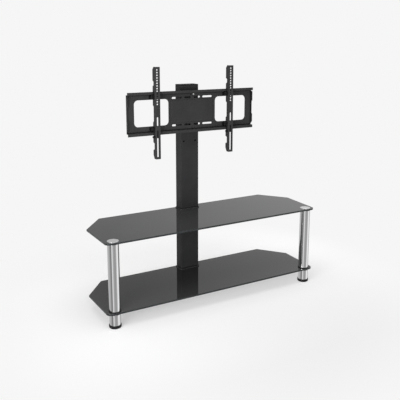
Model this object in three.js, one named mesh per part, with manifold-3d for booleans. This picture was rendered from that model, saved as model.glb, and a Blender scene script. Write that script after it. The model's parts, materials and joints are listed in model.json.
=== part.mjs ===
// Television stand with two glass shelves, a rear steel column and a hook-on
// wall-plate style television mount. Lengths are in millimetres.
// X is the width, Y runs from front to back, Z is up and the floor is Z = 0.
// The origin is on the floor, under the middle of the glass.

import * as THREE from 'three';
import { mergeVertices } from 'three/addons/utils/BufferGeometryUtils.js';
import Module from 'manifold-3d';

const wasm = await Module();
wasm.setup();

// Clearances

const seatGap = 0.3;
const boreGap = 0.3;
const cutOverrun = 5;

// Glass shelves

const shelfWidth = 1142;
const shelfFrontTaper = 7.5;
const shelfRearTaper = 106;
const shelfDepth = 369;
const shelfSideDepth = 236;
const shelfFrontRadius = 24;
const shelfCornerRadius = 5;
const topGlass = 8;
const lowerGlass = 8;
const topShelfHeight = 395;
const lowerShelfHeight = 75;
const glassHoleRadius = 7;

// Front legs

const legSideInset = 40.5;
const legFrontSetback = 28;
const tubeRadius = 25.4;
const tubeWall = 2;
const capDiscRadius = 25.5;
const capDiscThickness = 1;
const capDiscChamfer = 0.3;
const spigotRadius = 4;
const spigotDepth = 14;
const collarRingRadius = 27;
const collarRingThickness = 4;
const collarRingChamfer = 1;
const underWasherThickness = 3;
const plugFlange = 1.7;
const plugDepth = 32;
const basePlugDepth = 22;
const legRodRadius = 4;
const rodTipGap = 2;

// Front levelling feet

const footRadius = 27.7;
const footHeight = 14;
const footFloor = 2;
const footLip = 2.7;
const footBaseChamfer = 3;
const studRadius = 4;
const studHeadRadius = 10;
const studHeadThickness = 3;
const studMouthRadius = 6;
const studReach = 14;

// Rear column

const columnWidth = 103;
const columnDepth = 55.5;
const columnRadius = 6;
const columnWall = 2;
const columnTopHeight = 1027;
const columnRearInset = 8;
const endPlate = 5;
const collarThickness = 4;
const collarLip = 4.5;
const capFlange = 4;
const capSkirtDepth = 14;
const capSkirtWall = 2;
const columnRodRadius = 5;
const columnRodSpacing = 60;
const columnRodClearance = 0.6;
const columnRodHeadRadius = 9;
const columnRodHeadHeight = 7;
const columnNutHeight = 8;

// Cable outlets in the back of the column

const outletWidth = 44;
const outletHeight = 26;
const outletTopDrop = 150;
const outletBottomRise = 60;
const grommetFlange = 1.6;
const grommetLip = 2.5;
const grommetWall = 2;
const grommetDepth = 5;

// Rear foot

const basePlateWidth = 260;
const basePlateMargin = 1;
const basePlateThickness = 6;
const basePlateHeight = 14;
const basePlateCorner = 14;
const rearFootSpacing = 224;
const padRadius = 18;
const padHeight = 10;
const padFloor = 2;
const padChamfer = 1.5;
const rearStudTip = 10;

// Height adjustment

const heightTravel = 80;
const boltRadius = 4;
const boltHeadRadius = 7;
const boltHeadHeight = 5.5;
const boltSpacing = 64;
const boltPitch = 62;
const boltTopDrop = 40;
const slotClearance = 0.7;
const clampPlateThickness = 4;
const clampPlateMargin = 12;
const clampPlateSideGap = 4;
const spareHoleRadius = 4.5;
const spareHoleDrop = 50;

// Carriage between the column and the mount plate

const mountStandoff = 26;
const carriageSheet = 2.5;
const carriageWidth = 92;
const crownWidth = 44;
const crownHeight = 100;

// Mount plate

const plateWidth = 693;
const plateTopDrop = 25;
const plateHeight = 205.5;
const plateSheet = 2.5;
const hookDepth = 16;
const lipHeight = 14;
const windowInner = 129;
const windowOuter = 307.8;
const windowHeight = 126;
const windowTopDrop = 38;
const windowRadius = 20;
const slotHeight = 9;
const slotRowShift = 3.3;
const innerSlotStart = 8;
const innerSlotEnd = 43.7;
const outerSlotStart = 57;
const outerSlotEnd = 111;
const panelWidth = 232;
const panelHeight = 112;
const panelRise = 1.5;
const panelSlope = 3;
const panelRadius = 8;
const panelRoot = 0.5;
const endFlangeRelief = 4;
const endFlangeSetback = 3.5;
const endNotchHeight = 62;
const endNotchDepth = 5.8;
const endChamfer = 14;
const levelHoleRadius = 3.6;
const levelOffset = 7.5;
const levelMiddleShift = 1.2;
const levelDrop = 20;
const levelRadius = 4.5;
const levelHeight = 2.4;
const levelDomeRise = 1.2;
const levelShoulderShare = 0.7;
const levelShoulderRiseShare = 0.8;

// Television rails

const railSpacing = 403.5;
const railLength = 435;
const railTopRise = 116;
const railFaceWidth = 24.5;
const railDepth = 30.5;
const railSheet = 2.5;
const railFront = 19.5;
const railTopCut = 12;
const railTailCutDepth = 11;
const railTailCutHeight = 18;
const railHoleRadius = 3.75;
const railHoleShift = 2.4;
const railHolePitch = 12.27;
const railHoleCount = 14;
const railHoleDrop = 14;
const shortSlotDrop = 234;
const shortSlotLength = 42;
const longSlotLength = 128;
const longSlotRise = 10;
const waistDepth = 8.4;
const waistMargin = 7;
const waistEase = 6;
const heelDepth = 12.7;
const heelRise = 46;
const heelLength = 28.5;
const heelEase = 4.3;
const topReliefDrop = 68;
const topReliefLength = 18;
const topReliefDepth = 10;
const topReliefEase = 4;
const hookFrontGap = 2;
const hookBackGap = 2;
const hookTabReach = 9;
const hookMouthDrop = 4;
const lowerMouthGap = 3;
const guideWidth = 14;
const guideHeight = 18.5;
const guideDepth = 20;
const guideCornerRadius = 1.75;
const guideFaceGap = 0.4;
const upperGuideGap = 1.8;
const lowerGuideGap = 5.5;

// Safety latch behind each rail's long slot

const latchTopRise = 11.5;
const latchBottomDrop = 12.7;
const latchLipGap = 2.3;
const latchHookGap = 2;
const latchHookRise = 6.5;
const latchBackInset = 0.5;
const latchSideInset = 1;
const latchPinRadius = 2.5;
const latchPinSetback = 13.5;
const latchPinDrop = 7.5;
const latchPinGrip = 3;
const latchKnobRadius = 4.5;
const latchKnobLength = 10;

// Counts of facets

const roundFacets = 24;
const smallFacets = 12;
const holeFacets = 10;
const hexFacets = 6;
const cornerSteps = 4;
const slotSteps = 4;

// Places worked out from the sizes

const shelfFrontWidth = shelfWidth - 2 * shelfFrontTaper;
const shelfRearWidth = shelfWidth - 2 * shelfRearTaper;
const shelfFront = -shelfDepth / 2;
const shelfRear = shelfDepth / 2;
const legX = shelfFrontWidth / 2 - legSideInset;
const legY = shelfFront + legFrontSetback;
const topGlassUnder = topShelfHeight - topGlass;
const lowerGlassUnder = lowerShelfHeight - lowerGlass;
const columnBack = shelfRear - columnRearInset;
const columnFront = columnBack - columnDepth;
const columnY = (columnFront + columnBack) / 2;
const columnRodX = columnRodSpacing / 2;
const carriageBack = columnFront - seatGap;
const carriageWebFront = carriageBack - carriageSheet;
const plateBack = columnFront - mountStandoff;
const plateFace = plateBack - plateSheet;
const lipFront = plateFace - hookDepth;
const lipBack = lipFront + plateSheet;
const plateTopHeight = columnTopHeight - plateTopDrop;
const upperFold = plateTopHeight - lipHeight;
const plateBottomHeight = plateTopHeight - plateHeight;
const lowerFold = plateBottomHeight + lipHeight;
const windowTop = plateTopHeight - windowTopDrop;
const windowBottom = windowTop - windowHeight;
const boltX = boltSpacing / 2;
const upperBoltHeight = plateTopHeight - boltTopDrop;
const lowerBoltHeight = upperBoltHeight - boltPitch;
const railTop = plateTopHeight + railTopRise;
const railBottom = railTop - railLength;
const railFace = lipFront - railFront;
const railBack = railFace + railDepth;

// Materials

function finish(color, roughness, metalness) {
  return new THREE.MeshStandardMaterial({ color, roughness, metalness });
}

function glassFinish(color) {
  const material = finish(color, 0.05, 0);
  material.transparent = true;
  material.opacity = 0.9;
  return material;
}

const finishes = {
  glass: glassFinish(0x101113),
  chrome: finish(0xc9c9cb, 0.15, 1),
  disc: finish(0xbfbfc1, 0.35, 1),
  zinc: finish(0xa8aaac, 0.4, 1),
  columnPaint: finish(0x2b2b2d, 0.45, 0.3),
  mountPaint: finish(0x353537, 0.5, 0.3),
  plastic: finish(0x151516, 0.55, 0),
  darkSteel: finish(0x1d1d1f, 0.4, 0.8),
  vial: finish(0xc4c8c6, 0.2, 0),
};

// Solids and geometries

function toSolid(geometry) {
  const bare = geometry.clone();
  bare.deleteAttribute('normal');
  bare.deleteAttribute('uv');
  const merged = mergeVertices(bare);
  const index = merged.index.array;
  const triangles = [];
  for (let start = 0; start < index.length; start += 3) {
    const [a, b, c] = [index[start], index[start + 1], index[start + 2]];
    if (a !== b && b !== c && c !== a) triangles.push(a, b, c);
  }
  const mesh = new wasm.Mesh({
    numProp: 3,
    vertProperties: new Float32Array(merged.attributes.position.array),
    triVerts: new Uint32Array(triangles),
  });
  return new wasm.Manifold(mesh);
}

function toGeometry(solid) {
  const mesh = solid.getMesh();
  const geometry = new THREE.BufferGeometry();
  geometry.setAttribute('position', new THREE.BufferAttribute(mesh.vertProperties, 3));
  geometry.setIndex(new THREE.BufferAttribute(mesh.triVerts, 1));
  geometry.computeVertexNormals();
  return geometry;
}

function joined(solids) {
  return solids.reduce((whole, solid) => whole.add(solid));
}

function cut(solid, tools) {
  return tools.reduce((rest, tool) => rest.subtract(tool), solid);
}

// Outlines in a plane

function roundedOutline(corners) {
  const points = [];
  corners.forEach(([x, y, radius], place) => {
    const here = new THREE.Vector2(x, y);
    if (!radius) {
      points.push(here);
      return;
    }
    const before = corners.at(place - 1);
    const after = corners[(place + 1) % corners.length];
    const back = new THREE.Vector2(before[0], before[1]).sub(here).normalize();
    const ahead = new THREE.Vector2(after[0], after[1]).sub(here).normalize();
    const half = Math.acos(THREE.MathUtils.clamp(back.dot(ahead), -1, 1)) / 2;
    const centre = back.clone().add(ahead).normalize().multiplyScalar(radius / Math.sin(half)).add(here);
    const tangent = radius / Math.tan(half);
    const first = back.clone().multiplyScalar(tangent).add(here).sub(centre);
    const last = ahead.clone().multiplyScalar(tangent).add(here).sub(centre);
    const turn = Math.atan2(first.cross(last), first.dot(last));
    for (let step = 0; step <= cornerSteps; step += 1) {
      const spoke = first.clone().rotateAround(new THREE.Vector2(), (turn * step) / cornerSteps);
      points.push(spoke.add(centre));
    }
  });
  return points;
}

function box2d(left, bottom, right, top, radius = 0) {
  return roundedOutline([
    [left, bottom, radius],
    [right, bottom, radius],
    [right, top, radius],
    [left, top, radius],
  ]);
}

function circle2d(x, y, radius, facets = holeFacets) {
  const points = [];
  for (let step = 0; step < facets; step += 1) {
    const angle = (2 * Math.PI * step) / facets;
    points.push(new THREE.Vector2(x + radius * Math.cos(angle), y + radius * Math.sin(angle)));
  }
  return points;
}

function slot2d(left, bottom, right, top) {
  const upright = top - bottom > right - left;
  const radius = Math.min(top - bottom, right - left) / 2;
  const startAngle = upright ? 0 : -Math.PI / 2;
  const ends = upright
    ? [[(left + right) / 2, top - radius], [(left + right) / 2, bottom + radius]]
    : [[right - radius, (bottom + top) / 2], [left + radius, (bottom + top) / 2]];
  const points = [];
  ends.forEach(([x, y], side) => {
    for (let step = 0; step <= slotSteps; step += 1) {
      const angle = startAngle + side * Math.PI + (Math.PI * step) / slotSteps;
      points.push(new THREE.Vector2(x + radius * Math.cos(angle), y + radius * Math.sin(angle)));
    }
  });
  return points;
}

function shapeOf(outline, holes = []) {
  const shape = new THREE.Shape(outline);
  holes.forEach((hole) => shape.holes.push(new THREE.Path(hole)));
  return shape;
}

// Solids from outlines

function prism(outline, holes, thickness) {
  return new THREE.ExtrudeGeometry(shapeOf(outline, holes), { depth: thickness, bevelEnabled: false });
}

function lying(outline, holes, low, high) {
  const geometry = prism(outline, holes, high - low);
  geometry.translate(0, 0, low);
  return toSolid(geometry);
}

function facing(outline, holes, front, back) {
  const geometry = prism(outline, holes, back - front);
  geometry.applyMatrix4(new THREE.Matrix4().set(1, 0, 0, 0, 0, 0, -1, back, 0, 1, 0, 0, 0, 0, 0, 1));
  return toSolid(geometry);
}

function sideways(outline, holes, left, right) {
  const geometry = prism(outline, holes, right - left);
  geometry.applyMatrix4(new THREE.Matrix4().set(0, 0, 1, left, 1, 0, 0, 0, 0, 1, 0, 0, 0, 0, 0, 1));
  return toSolid(geometry);
}

function turned(profile, x, y, facets = roundFacets) {
  const points = profile.map(([radius, height]) => new THREE.Vector2(radius, height));
  const geometry = new THREE.LatheGeometry(points, facets);
  geometry.applyMatrix4(new THREE.Matrix4().set(1, 0, 0, x, 0, 0, -1, y, 0, 1, 0, 0, 0, 0, 0, 1));
  return toSolid(geometry);
}

function rod(x, y, radius, low, high, facets = smallFacets) {
  return turned([[0, low], [radius, low], [radius, high], [0, high]], x, y, facets);
}

function ring(x, y, inner, outer, low, high, facets = roundFacets) {
  return turned([[inner, low], [outer, low], [outer, high], [inner, high], [inner, low]], x, y, facets);
}

function pinAlongY(x, z, radius, front, back, facets = smallFacets) {
  return facing(circle2d(x, z, radius, facets), [], front, back);
}

function pinAlongX(y, z, radius, left, right, facets = smallFacets) {
  return sideways(circle2d(y, z, radius, facets), [], left, right);
}

function sidewaysOn(side, outline, near, far) {
  const [left, right] = [side * near, side * far].sort((a, b) => a - b);
  return sideways(outline, [], left, right);
}

// Glass shelves

function shelfOutline() {
  const widest = shelfFront + shelfSideDepth;
  const right = [
    [shelfFrontWidth / 2, shelfFront, shelfFrontRadius],
    [shelfWidth / 2, widest, shelfCornerRadius],
    [shelfRearWidth / 2, shelfRear, shelfCornerRadius],
  ];
  const left = right.map(([x, y, radius]) => [-x, y, radius]).reverse();
  return roundedOutline([...right, ...left]);
}

function glassShelf(topHeight, thickness) {
  const holes = [];
  for (const side of [-1, 1]) {
    holes.push(circle2d(side * legX, legY, glassHoleRadius));
    holes.push(circle2d(side * columnRodX, columnY, glassHoleRadius));
  }
  return lying(shelfOutline(), holes, topHeight - thickness, topHeight);
}

// Front legs

const collarRingTop = lowerShelfHeight + seatGap + collarRingThickness;
const upperTubeBottom = collarRingTop + seatGap;
const upperTubeTop = topGlassUnder - seatGap - plugFlange - seatGap;
const lowerTubeTop = lowerGlassUnder - seatGap - underWasherThickness - seatGap;
const footSeat = footFloor + seatGap + studHeadThickness + footLip;
const lowerTubeBottom = footSeat + seatGap;
const basePlugBottom = lowerTubeBottom;
const basePlugTop = basePlugBottom + basePlugDepth;
const topPlugBottom = upperTubeTop - plugDepth;
const plugRadius = tubeRadius - tubeWall - boreGap;

function capDisc(x) {
  const low = topShelfHeight + seatGap;
  const high = low + capDiscThickness;
  const bottom = topGlassUnder - spigotDepth;
  return turned([
    [0, bottom],
    [spigotRadius, bottom],
    [spigotRadius, low],
    [capDiscRadius, low],
    [capDiscRadius, high - capDiscChamfer],
    [capDiscRadius - capDiscChamfer, high],
    [0, high],
  ], x, legY);
}

function topPlug(x) {
  const bore = spigotRadius + boreGap;
  const shoulder = upperTubeTop + seatGap;
  const high = shoulder + plugFlange;
  return turned([
    [bore, topPlugBottom],
    [plugRadius, topPlugBottom],
    [plugRadius, shoulder],
    [tubeRadius, shoulder],
    [tubeRadius, high],
    [bore, high],
    [bore, topPlugBottom],
  ], x, legY);
}

function tube(x, low, high) {
  return ring(x, legY, tubeRadius - tubeWall, tubeRadius, low, high);
}

function legRod(x) {
  const low = lowerTubeBottom + studReach + rodTipGap;
  const high = topGlassUnder - spigotDepth - rodTipGap;
  return rod(x, legY, legRodRadius, low, high);
}

function collarRing(x) {
  const low = lowerShelfHeight + seatGap;
  const inner = legRodRadius + boreGap;
  return turned([
    [inner, low],
    [collarRingRadius, low],
    [collarRingRadius, collarRingTop - collarRingChamfer],
    [collarRingRadius - collarRingChamfer, collarRingTop],
    [inner, collarRingTop],
    [inner, low],
  ], x, legY);
}

function underWasher(x) {
  const high = lowerGlassUnder - seatGap;
  return ring(x, legY, legRodRadius + boreGap, tubeRadius, high - underWasherThickness, high);
}

function basePlug(x) {
  return ring(x, legY, legRodRadius + boreGap, plugRadius, basePlugBottom, basePlugTop);
}

function footCup(x) {
  const pocket = studHeadRadius + boreGap;
  const pocketTop = footFloor + 2 * seatGap + studHeadThickness;
  const wallInside = tubeRadius + boreGap;
  return turned([
    [0, 0],
    [footRadius - footBaseChamfer, 0],
    [footRadius, footBaseChamfer],
    [footRadius, footHeight],
    [wallInside, footHeight],
    [wallInside, footSeat],
    [studMouthRadius, footSeat],
    [studMouthRadius, pocketTop],
    [pocket, pocketTop],
    [pocket, footFloor],
    [0, footFloor],
  ], x, legY);
}

function stud(x, y, floor, tip) {
  const low = floor + seatGap;
  const neck = low + studHeadThickness;
  return turned([
    [0, low],
    [studHeadRadius, low],
    [studHeadRadius, neck],
    [studRadius, neck],
    [studRadius, tip],
    [0, tip],
  ], x, y, smallFacets);
}

// Rear column

const lowerCollarUnder = lowerGlassUnder - seatGap - collarThickness;
const lowerCollarOver = lowerShelfHeight + seatGap;
const upperCollarUnder = topGlassUnder - seatGap - collarThickness;
const upperCollarOver = topShelfHeight + seatGap;
const basePlateTop = basePlateHeight + basePlateThickness;
const baseSectionBottom = basePlateTop + seatGap;
const baseSectionTop = lowerCollarUnder - seatGap;
const midSectionBottom = lowerCollarOver + collarThickness + seatGap;
const midSectionTop = upperCollarUnder - seatGap;
const upperSectionBottom = upperCollarOver + collarThickness + seatGap;
const upperSectionTop = columnTopHeight - capFlange - seatGap;

function columnOutline(growth) {
  const halfWidth = columnWidth / 2 + growth;
  const radius = Math.max(columnRadius + growth, columnWall);
  return box2d(-halfWidth, columnFront - growth, halfWidth, columnBack + growth, radius);
}

function rodHoles() {
  const radius = columnRodRadius + columnRodClearance;
  return [-1, 1].map((side) => circle2d(side * columnRodX, columnY, radius));
}

function columnSection(low, high, closedTop) {
  const pieces = [
    lying(columnOutline(0), [columnOutline(-columnWall)], low, high),
    lying(columnOutline(0), rodHoles(), low, low + endPlate),
  ];
  if (closedTop) pieces.push(lying(columnOutline(0), rodHoles(), high - endPlate, high));
  return joined(pieces);
}

function heightSlots() {
  const radius = boltRadius + slotClearance;
  const low = lowerBoltHeight - heightTravel - radius;
  const high = upperBoltHeight + radius;
  return [-1, 1].map((side) => {
    const x = side * boltX;
    const outline = slot2d(x - radius, low, x + radius, high);
    return facing(outline, [], columnFront - cutOverrun, columnFront + columnWall + cutOverrun);
  });
}

function spareHoles() {
  const height = plateBottomHeight - spareHoleDrop;
  const back = columnFront + columnWall + cutOverrun;
  return [-1, 1].map((side) => (
    pinAlongY(side * boltX, height, spareHoleRadius, columnFront - cutOverrun, back)
  ));
}

const outletHeights = [upperSectionTop - outletTopDrop, upperSectionBottom + outletBottomRise];

function outletOutline(height, growth) {
  const halfWidth = outletWidth / 2 + growth;
  const halfHeight = outletHeight / 2 + growth;
  return slot2d(-halfWidth, height - halfHeight, halfWidth, height + halfHeight);
}

function upperSection() {
  const outlets = outletHeights.map((height) => (
    facing(outletOutline(height, 0), [], columnBack - columnWall - cutOverrun, columnBack + cutOverrun)
  ));
  const body = columnSection(upperSectionBottom, upperSectionTop, false);
  return cut(body, [...heightSlots(), ...spareHoles(), ...outlets]);
}

function cableGrommet(height) {
  const inside = [outletOutline(height, -boreGap - grommetWall)];
  const flangeFront = columnBack + seatGap;
  const flange = facing(outletOutline(height, grommetLip), inside, flangeFront, flangeFront + grommetFlange);
  const neckFront = columnBack - grommetDepth;
  const neck = facing(outletOutline(height, -boreGap), inside, neckFront, flangeFront + grommetFlange / 2);
  return flange.add(neck);
}

function columnCollar(low) {
  return lying(columnOutline(collarLip - seatGap), rodHoles(), low, low + collarThickness);
}

function columnCap() {
  const skirtOutside = columnOutline(-columnWall - boreGap);
  const skirtInside = columnOutline(-columnWall - boreGap - capSkirtWall);
  const low = upperSectionTop + seatGap;
  const flange = lying(columnOutline(0), [], low, columnTopHeight);
  const skirt = lying(skirtOutside, [skirtInside], low - capSkirtDepth, low + capFlange / 2);
  return flange.add(skirt);
}

function columnRod(side) {
  const x = side * columnRodX;
  const headTop = basePlateHeight - seatGap;
  const nutLow = upperSectionBottom + endPlate + seatGap;
  const tip = nutLow + columnNutHeight + rodTipGap;
  return joined([
    rod(x, columnY, columnRodHeadRadius, headTop - columnRodHeadHeight, headTop, hexFacets),
    rod(x, columnY, columnRodRadius, headTop - columnRodHeadHeight / 2, tip),
    rod(x, columnY, columnRodHeadRadius, nutLow, nutLow + columnNutHeight, hexFacets),
  ]);
}

// Rear foot

const rearFootX = rearFootSpacing / 2;

function basePlate() {
  const halfWidth = basePlateWidth / 2;
  const front = columnFront - basePlateMargin;
  const back = columnBack + basePlateMargin;
  const outline = box2d(-halfWidth, front, halfWidth, back, basePlateCorner);
  const holes = [];
  for (const side of [-1, 1]) {
    holes.push(circle2d(side * columnRodX, columnY, columnRodRadius + columnRodClearance));
    holes.push(circle2d(side * rearFootX, columnY, studRadius + boreGap, smallFacets));
  }
  return lying(outline, holes, basePlateHeight, basePlateTop);
}

function rearPad(x) {
  const pocket = studHeadRadius + boreGap;
  const pocketTop = padFloor + 2 * seatGap + studHeadThickness;
  return turned([
    [0, 0],
    [padRadius - padChamfer, 0],
    [padRadius, padChamfer],
    [padRadius, padHeight - padChamfer],
    [padRadius - padChamfer, padHeight],
    [studMouthRadius, padHeight],
    [studMouthRadius, pocketTop],
    [pocket, pocketTop],
    [pocket, padFloor],
    [0, padFloor],
  ], x, columnY);
}

// Height adjustment

function clampBolt(side, height) {
  const x = side * boltX;
  const headBack = carriageWebFront - seatGap;
  const tip = columnFront + columnWall + seatGap + clampPlateThickness + seatGap;
  return joined([
    pinAlongY(x, height, boltHeadRadius, headBack - boltHeadHeight, headBack, hexFacets),
    pinAlongY(x, height, boltRadius, headBack - boltHeadHeight / 2, tip),
  ]);
}

function boltHoles(growth) {
  const holes = [];
  for (const side of [-1, 1]) {
    for (const height of [upperBoltHeight, lowerBoltHeight]) {
      holes.push(circle2d(side * boltX, height, boltRadius + growth));
    }
  }
  return holes;
}

function clampPlate() {
  const halfWidth = columnWidth / 2 - columnWall - clampPlateSideGap;
  const outline = box2d(
    -halfWidth,
    lowerBoltHeight - clampPlateMargin,
    halfWidth,
    upperBoltHeight + clampPlateMargin,
  );
  const front = columnFront + columnWall + seatGap;
  return facing(outline, boltHoles(boreGap), front, front + clampPlateThickness);
}

function carriage() {
  const halfWidth = carriageWidth / 2;
  const webTop = upperFold;
  const webBottom = lowerFold;
  const outline = box2d(-halfWidth, webBottom, halfWidth, webTop, carriageSheet);
  const web = facing(outline, boltHoles(boreGap), carriageWebFront, carriageBack);
  const crownHalf = crownWidth / 2;
  const crownInside = crownHalf - carriageSheet;
  const crownFront = plateBack - panelRise + seatGap;
  const rootY = carriageWebFront + carriageSheet / 2;
  const channel = roundedOutline([
    [-crownHalf, rootY, 0],
    [-crownHalf, crownFront, 0],
    [crownHalf, crownFront, 0],
    [crownHalf, rootY, 0],
    [crownInside, rootY, 0],
    [crownInside, crownFront + carriageSheet, 0],
    [-crownInside, crownFront + carriageSheet, 0],
    [-crownInside, rootY, 0],
  ]);
  const middle = (windowTop + windowBottom) / 2;
  const crown = lying(channel, [], middle - crownHeight / 2, middle + crownHeight / 2);
  return web.add(crown);
}

// Mount plate

function plateHoles() {
  const holes = [];
  const rows = [windowTop + slotRowShift, windowBottom - slotRowShift];
  const spans = [[innerSlotStart, innerSlotEnd], [outerSlotStart, outerSlotEnd]];
  for (const side of [-1, 1]) {
    const window = [side * windowInner, side * windowOuter].sort((a, b) => a - b);
    holes.push(box2d(window[0], windowBottom, window[1], windowTop, windowRadius));
    for (const row of rows) {
      for (const span of spans) {
        const ends = [side * span[0], side * span[1]].sort((a, b) => a - b);
        holes.push(slot2d(ends[0], row - slotHeight / 2, ends[1], row + slotHeight / 2));
      }
    }
  }
  holes.push(circle2d(-levelMiddleShift - levelOffset, plateTopHeight - levelDrop, levelHoleRadius));
  return holes;
}

function hookStrip(fold, edge) {
  const sheet = edge > fold ? plateSheet : -plateSheet;
  const profile = [
    [plateBack, fold, 0],
    [lipFront, fold, 0],
    [lipFront, edge, 0],
    [lipBack, edge, 0],
    [lipBack, fold + sheet, 0],
    [plateBack, fold + sheet, 0],
  ];
  const outline = roundedOutline(sheet > 0 ? profile.reverse() : profile);
  return sideways(outline, [], -plateWidth / 2, plateWidth / 2);
}

function endFlange(side) {
  const middle = (windowTop + windowBottom) / 2;
  const high = upperFold - endFlangeRelief;
  const low = lowerFold + endFlangeRelief;
  const notch = endNotchHeight / 2;
  const front = lipFront + endFlangeSetback;
  const inset = front + endNotchDepth;
  const outline = roundedOutline([
    [plateBack, low, 0],
    [plateBack, high, 0],
    [front + endFlangeRelief, high, 0],
    [front, high - endFlangeRelief, 0],
    [front, middle + notch + endFlangeRelief, 0],
    [inset, middle + notch, 0],
    [inset, middle - notch, 0],
    [front, middle - notch - endFlangeRelief, 0],
    [front, low + endChamfer, 0],
    [plateFace, low, 0],
  ]);
  return sidewaysOn(side, outline, plateWidth / 2 - plateSheet, plateWidth / 2);
}

function pressedPanel(front) {
  const middle = (windowTop + windowBottom) / 2;
  const outline = box2d(
    -panelWidth / 2,
    middle - panelHeight / 2,
    panelWidth / 2,
    middle + panelHeight / 2,
    panelRadius,
  );
  const geometry = new THREE.ExtrudeGeometry(shapeOf(outline), {
    depth: panelRoot,
    bevelEnabled: true,
    bevelThickness: panelRise,
    bevelSize: panelSlope,
    bevelOffset: -panelSlope,
    bevelSegments: 1,
  });
  const back = front + panelRise + panelRoot;
  geometry.applyMatrix4(new THREE.Matrix4().set(1, 0, 0, 0, 0, 0, -1, back, 0, 1, 0, 0, 0, 0, 0, 1));
  return toSolid(geometry);
}

function mountPlate() {
  const halfWidth = plateWidth / 2;
  const outline = box2d(-halfWidth, lowerFold - plateSheet, halfWidth, upperFold + plateSheet);
  const sheet = joined([
    facing(outline, plateHoles(), plateFace, plateBack),
    hookStrip(upperFold, plateTopHeight),
    hookStrip(lowerFold, plateBottomHeight),
    endFlange(-1),
    endFlange(1),
  ]);
  const raised = pressedPanel(plateFace - panelRise);
  const hollow = pressedPanel(plateBack - panelRise);
  return sheet.add(raised).subtract(hollow);
}

function bubbleLevel() {
  const profile = [
    [0, 0],
    [levelRadius, 0],
    [levelRadius, levelHeight],
    [levelRadius * levelShoulderShare, levelHeight + levelDomeRise * levelShoulderRiseShare],
    [0, levelHeight + levelDomeRise],
  ];
  const geometry = new THREE.LatheGeometry(profile.map(([r, h]) => new THREE.Vector2(r, h)), smallFacets);
  geometry.rotateX(Math.PI);
  geometry.translate(levelOffset - levelMiddleShift, plateFace - seatGap, plateTopHeight - levelDrop);
  return toSolid(geometry);
}

// Television rails

function railFacePlate(x) {
  const left = x - railFaceWidth / 2;
  const right = x + railFaceWidth / 2;
  const outline = box2d(left, railBottom, right, railTop, railSheet);
  const row = x - railHoleShift;
  const holes = [];
  for (let place = 0; place < railHoleCount; place += 1) {
    holes.push(circle2d(row, railTop - railHoleDrop - place * railHolePitch, railHoleRadius));
  }
  const shortTop = railTop - shortSlotDrop;
  const slotLeft = row - railHoleRadius;
  const slotRight = row + railHoleRadius;
  holes.push(slot2d(slotLeft, shortTop - shortSlotLength, slotRight, shortTop));
  const longBottom = railBottom + longSlotRise;
  holes.push(slot2d(slotLeft, longBottom, slotRight, longBottom + longSlotLength));
  return facing(outline, holes, railFace, railFace + railSheet);
}

const latchPinY = railFace + latchPinSetback;
const latchPinHeight = plateBottomHeight - latchPinDrop;

function railFlange(left) {
  const seat = plateTopHeight + seatGap;
  const mouthFront = lipFront - hookFrontGap;
  const tabFront = lipBack + hookBackGap;
  const waist = railBack - waistDepth;
  const waistLow = windowBottom + guideHeight + waistMargin;
  const waistHigh = windowTop - guideHeight - waistMargin - waistEase;
  const heel = railBack - heelDepth;
  const heelLow = railBottom + heelRise;
  const heelHigh = heelLow + heelLength;
  const reliefHigh = railTop - topReliefDrop;
  const reliefLow = reliefHigh - topReliefLength;
  const relief = railBack - topReliefDepth;
  const outline = roundedOutline([
    [railFace, railBottom, 0],
    [railBack - railTailCutDepth, railBottom, 0],
    [railBack, railBottom + railTailCutHeight, 0],
    [railBack, heelLow - heelEase, 0],
    [heel, heelLow, 0],
    [heel, heelHigh, 0],
    [railBack, heelHigh + heelEase, 0],
    [railBack, plateBottomHeight - lowerMouthGap, 0],
    [mouthFront, plateBottomHeight - lowerMouthGap, 0],
    [mouthFront, lowerFold + lowerMouthGap, 0],
    [railBack, lowerFold + lowerMouthGap, 0],
    [railBack, waistLow - waistEase, 0],
    [waist, waistLow, 0],
    [waist, waistHigh, 0],
    [railBack, waistHigh + waistEase, 0],
    [railBack, upperFold - hookMouthDrop, 0],
    [mouthFront, upperFold - hookMouthDrop, 0],
    [mouthFront, seat, 0],
    [tabFront, seat, 0],
    [tabFront, plateTopHeight - hookTabReach, 0],
    [railBack, plateTopHeight - hookTabReach, 0],
    [railBack, reliefLow - topReliefEase, 0],
    [relief, reliefLow, 0],
    [relief, reliefHigh, 0],
    [railBack, reliefHigh + topReliefEase, 0],
    [railBack, railTop - railTopCut, 0],
    [railBack - railTopCut, railTop, 0],
    [railFace, railTop, 0],
  ]);
  const pinHole = circle2d(latchPinY, latchPinHeight, latchPinRadius + boreGap);
  return sideways(outline, [pinHole], left, left + railSheet);
}

function rail(x) {
  return railFacePlate(x).add(railFlange(x - railFaceWidth / 2));
}

function safetyLatch(railCentre) {
  const railLeft = railCentre - railFaceWidth / 2;
  const left = railLeft + railSheet + seatGap;
  const right = railLeft + railFaceWidth - latchSideInset;
  const front = railFace + railSheet + seatGap;
  const blockBack = lipFront - latchLipGap;
  const hookFront = lipBack + latchHookGap;
  const back = railBack - latchBackInset;
  const low = plateBottomHeight - latchBottomDrop;
  const toeTop = plateBottomHeight - lowerMouthGap;
  const hookTop = plateBottomHeight + latchHookRise;
  const high = lowerFold + latchTopRise;
  const outline = roundedOutline([
    [front, low, 0],
    [back, low, 0],
    [back, hookTop, 0],
    [hookFront, hookTop, 0],
    [hookFront, toeTop, 0],
    [blockBack, toeTop, 0],
    [blockBack, high, 0],
    [front, high, 0],
  ]);
  const knobRight = railLeft - seatGap;
  const knobLeft = knobRight - latchKnobLength;
  const pinLeft = knobRight - latchPinGrip;
  return joined([
    sideways(outline, [], left, right),
    pinAlongX(latchPinY, latchPinHeight, latchPinRadius, pinLeft, left + latchPinGrip),
    pinAlongX(latchPinY, latchPinHeight, latchKnobRadius, knobLeft, knobRight),
  ]);
}

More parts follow.
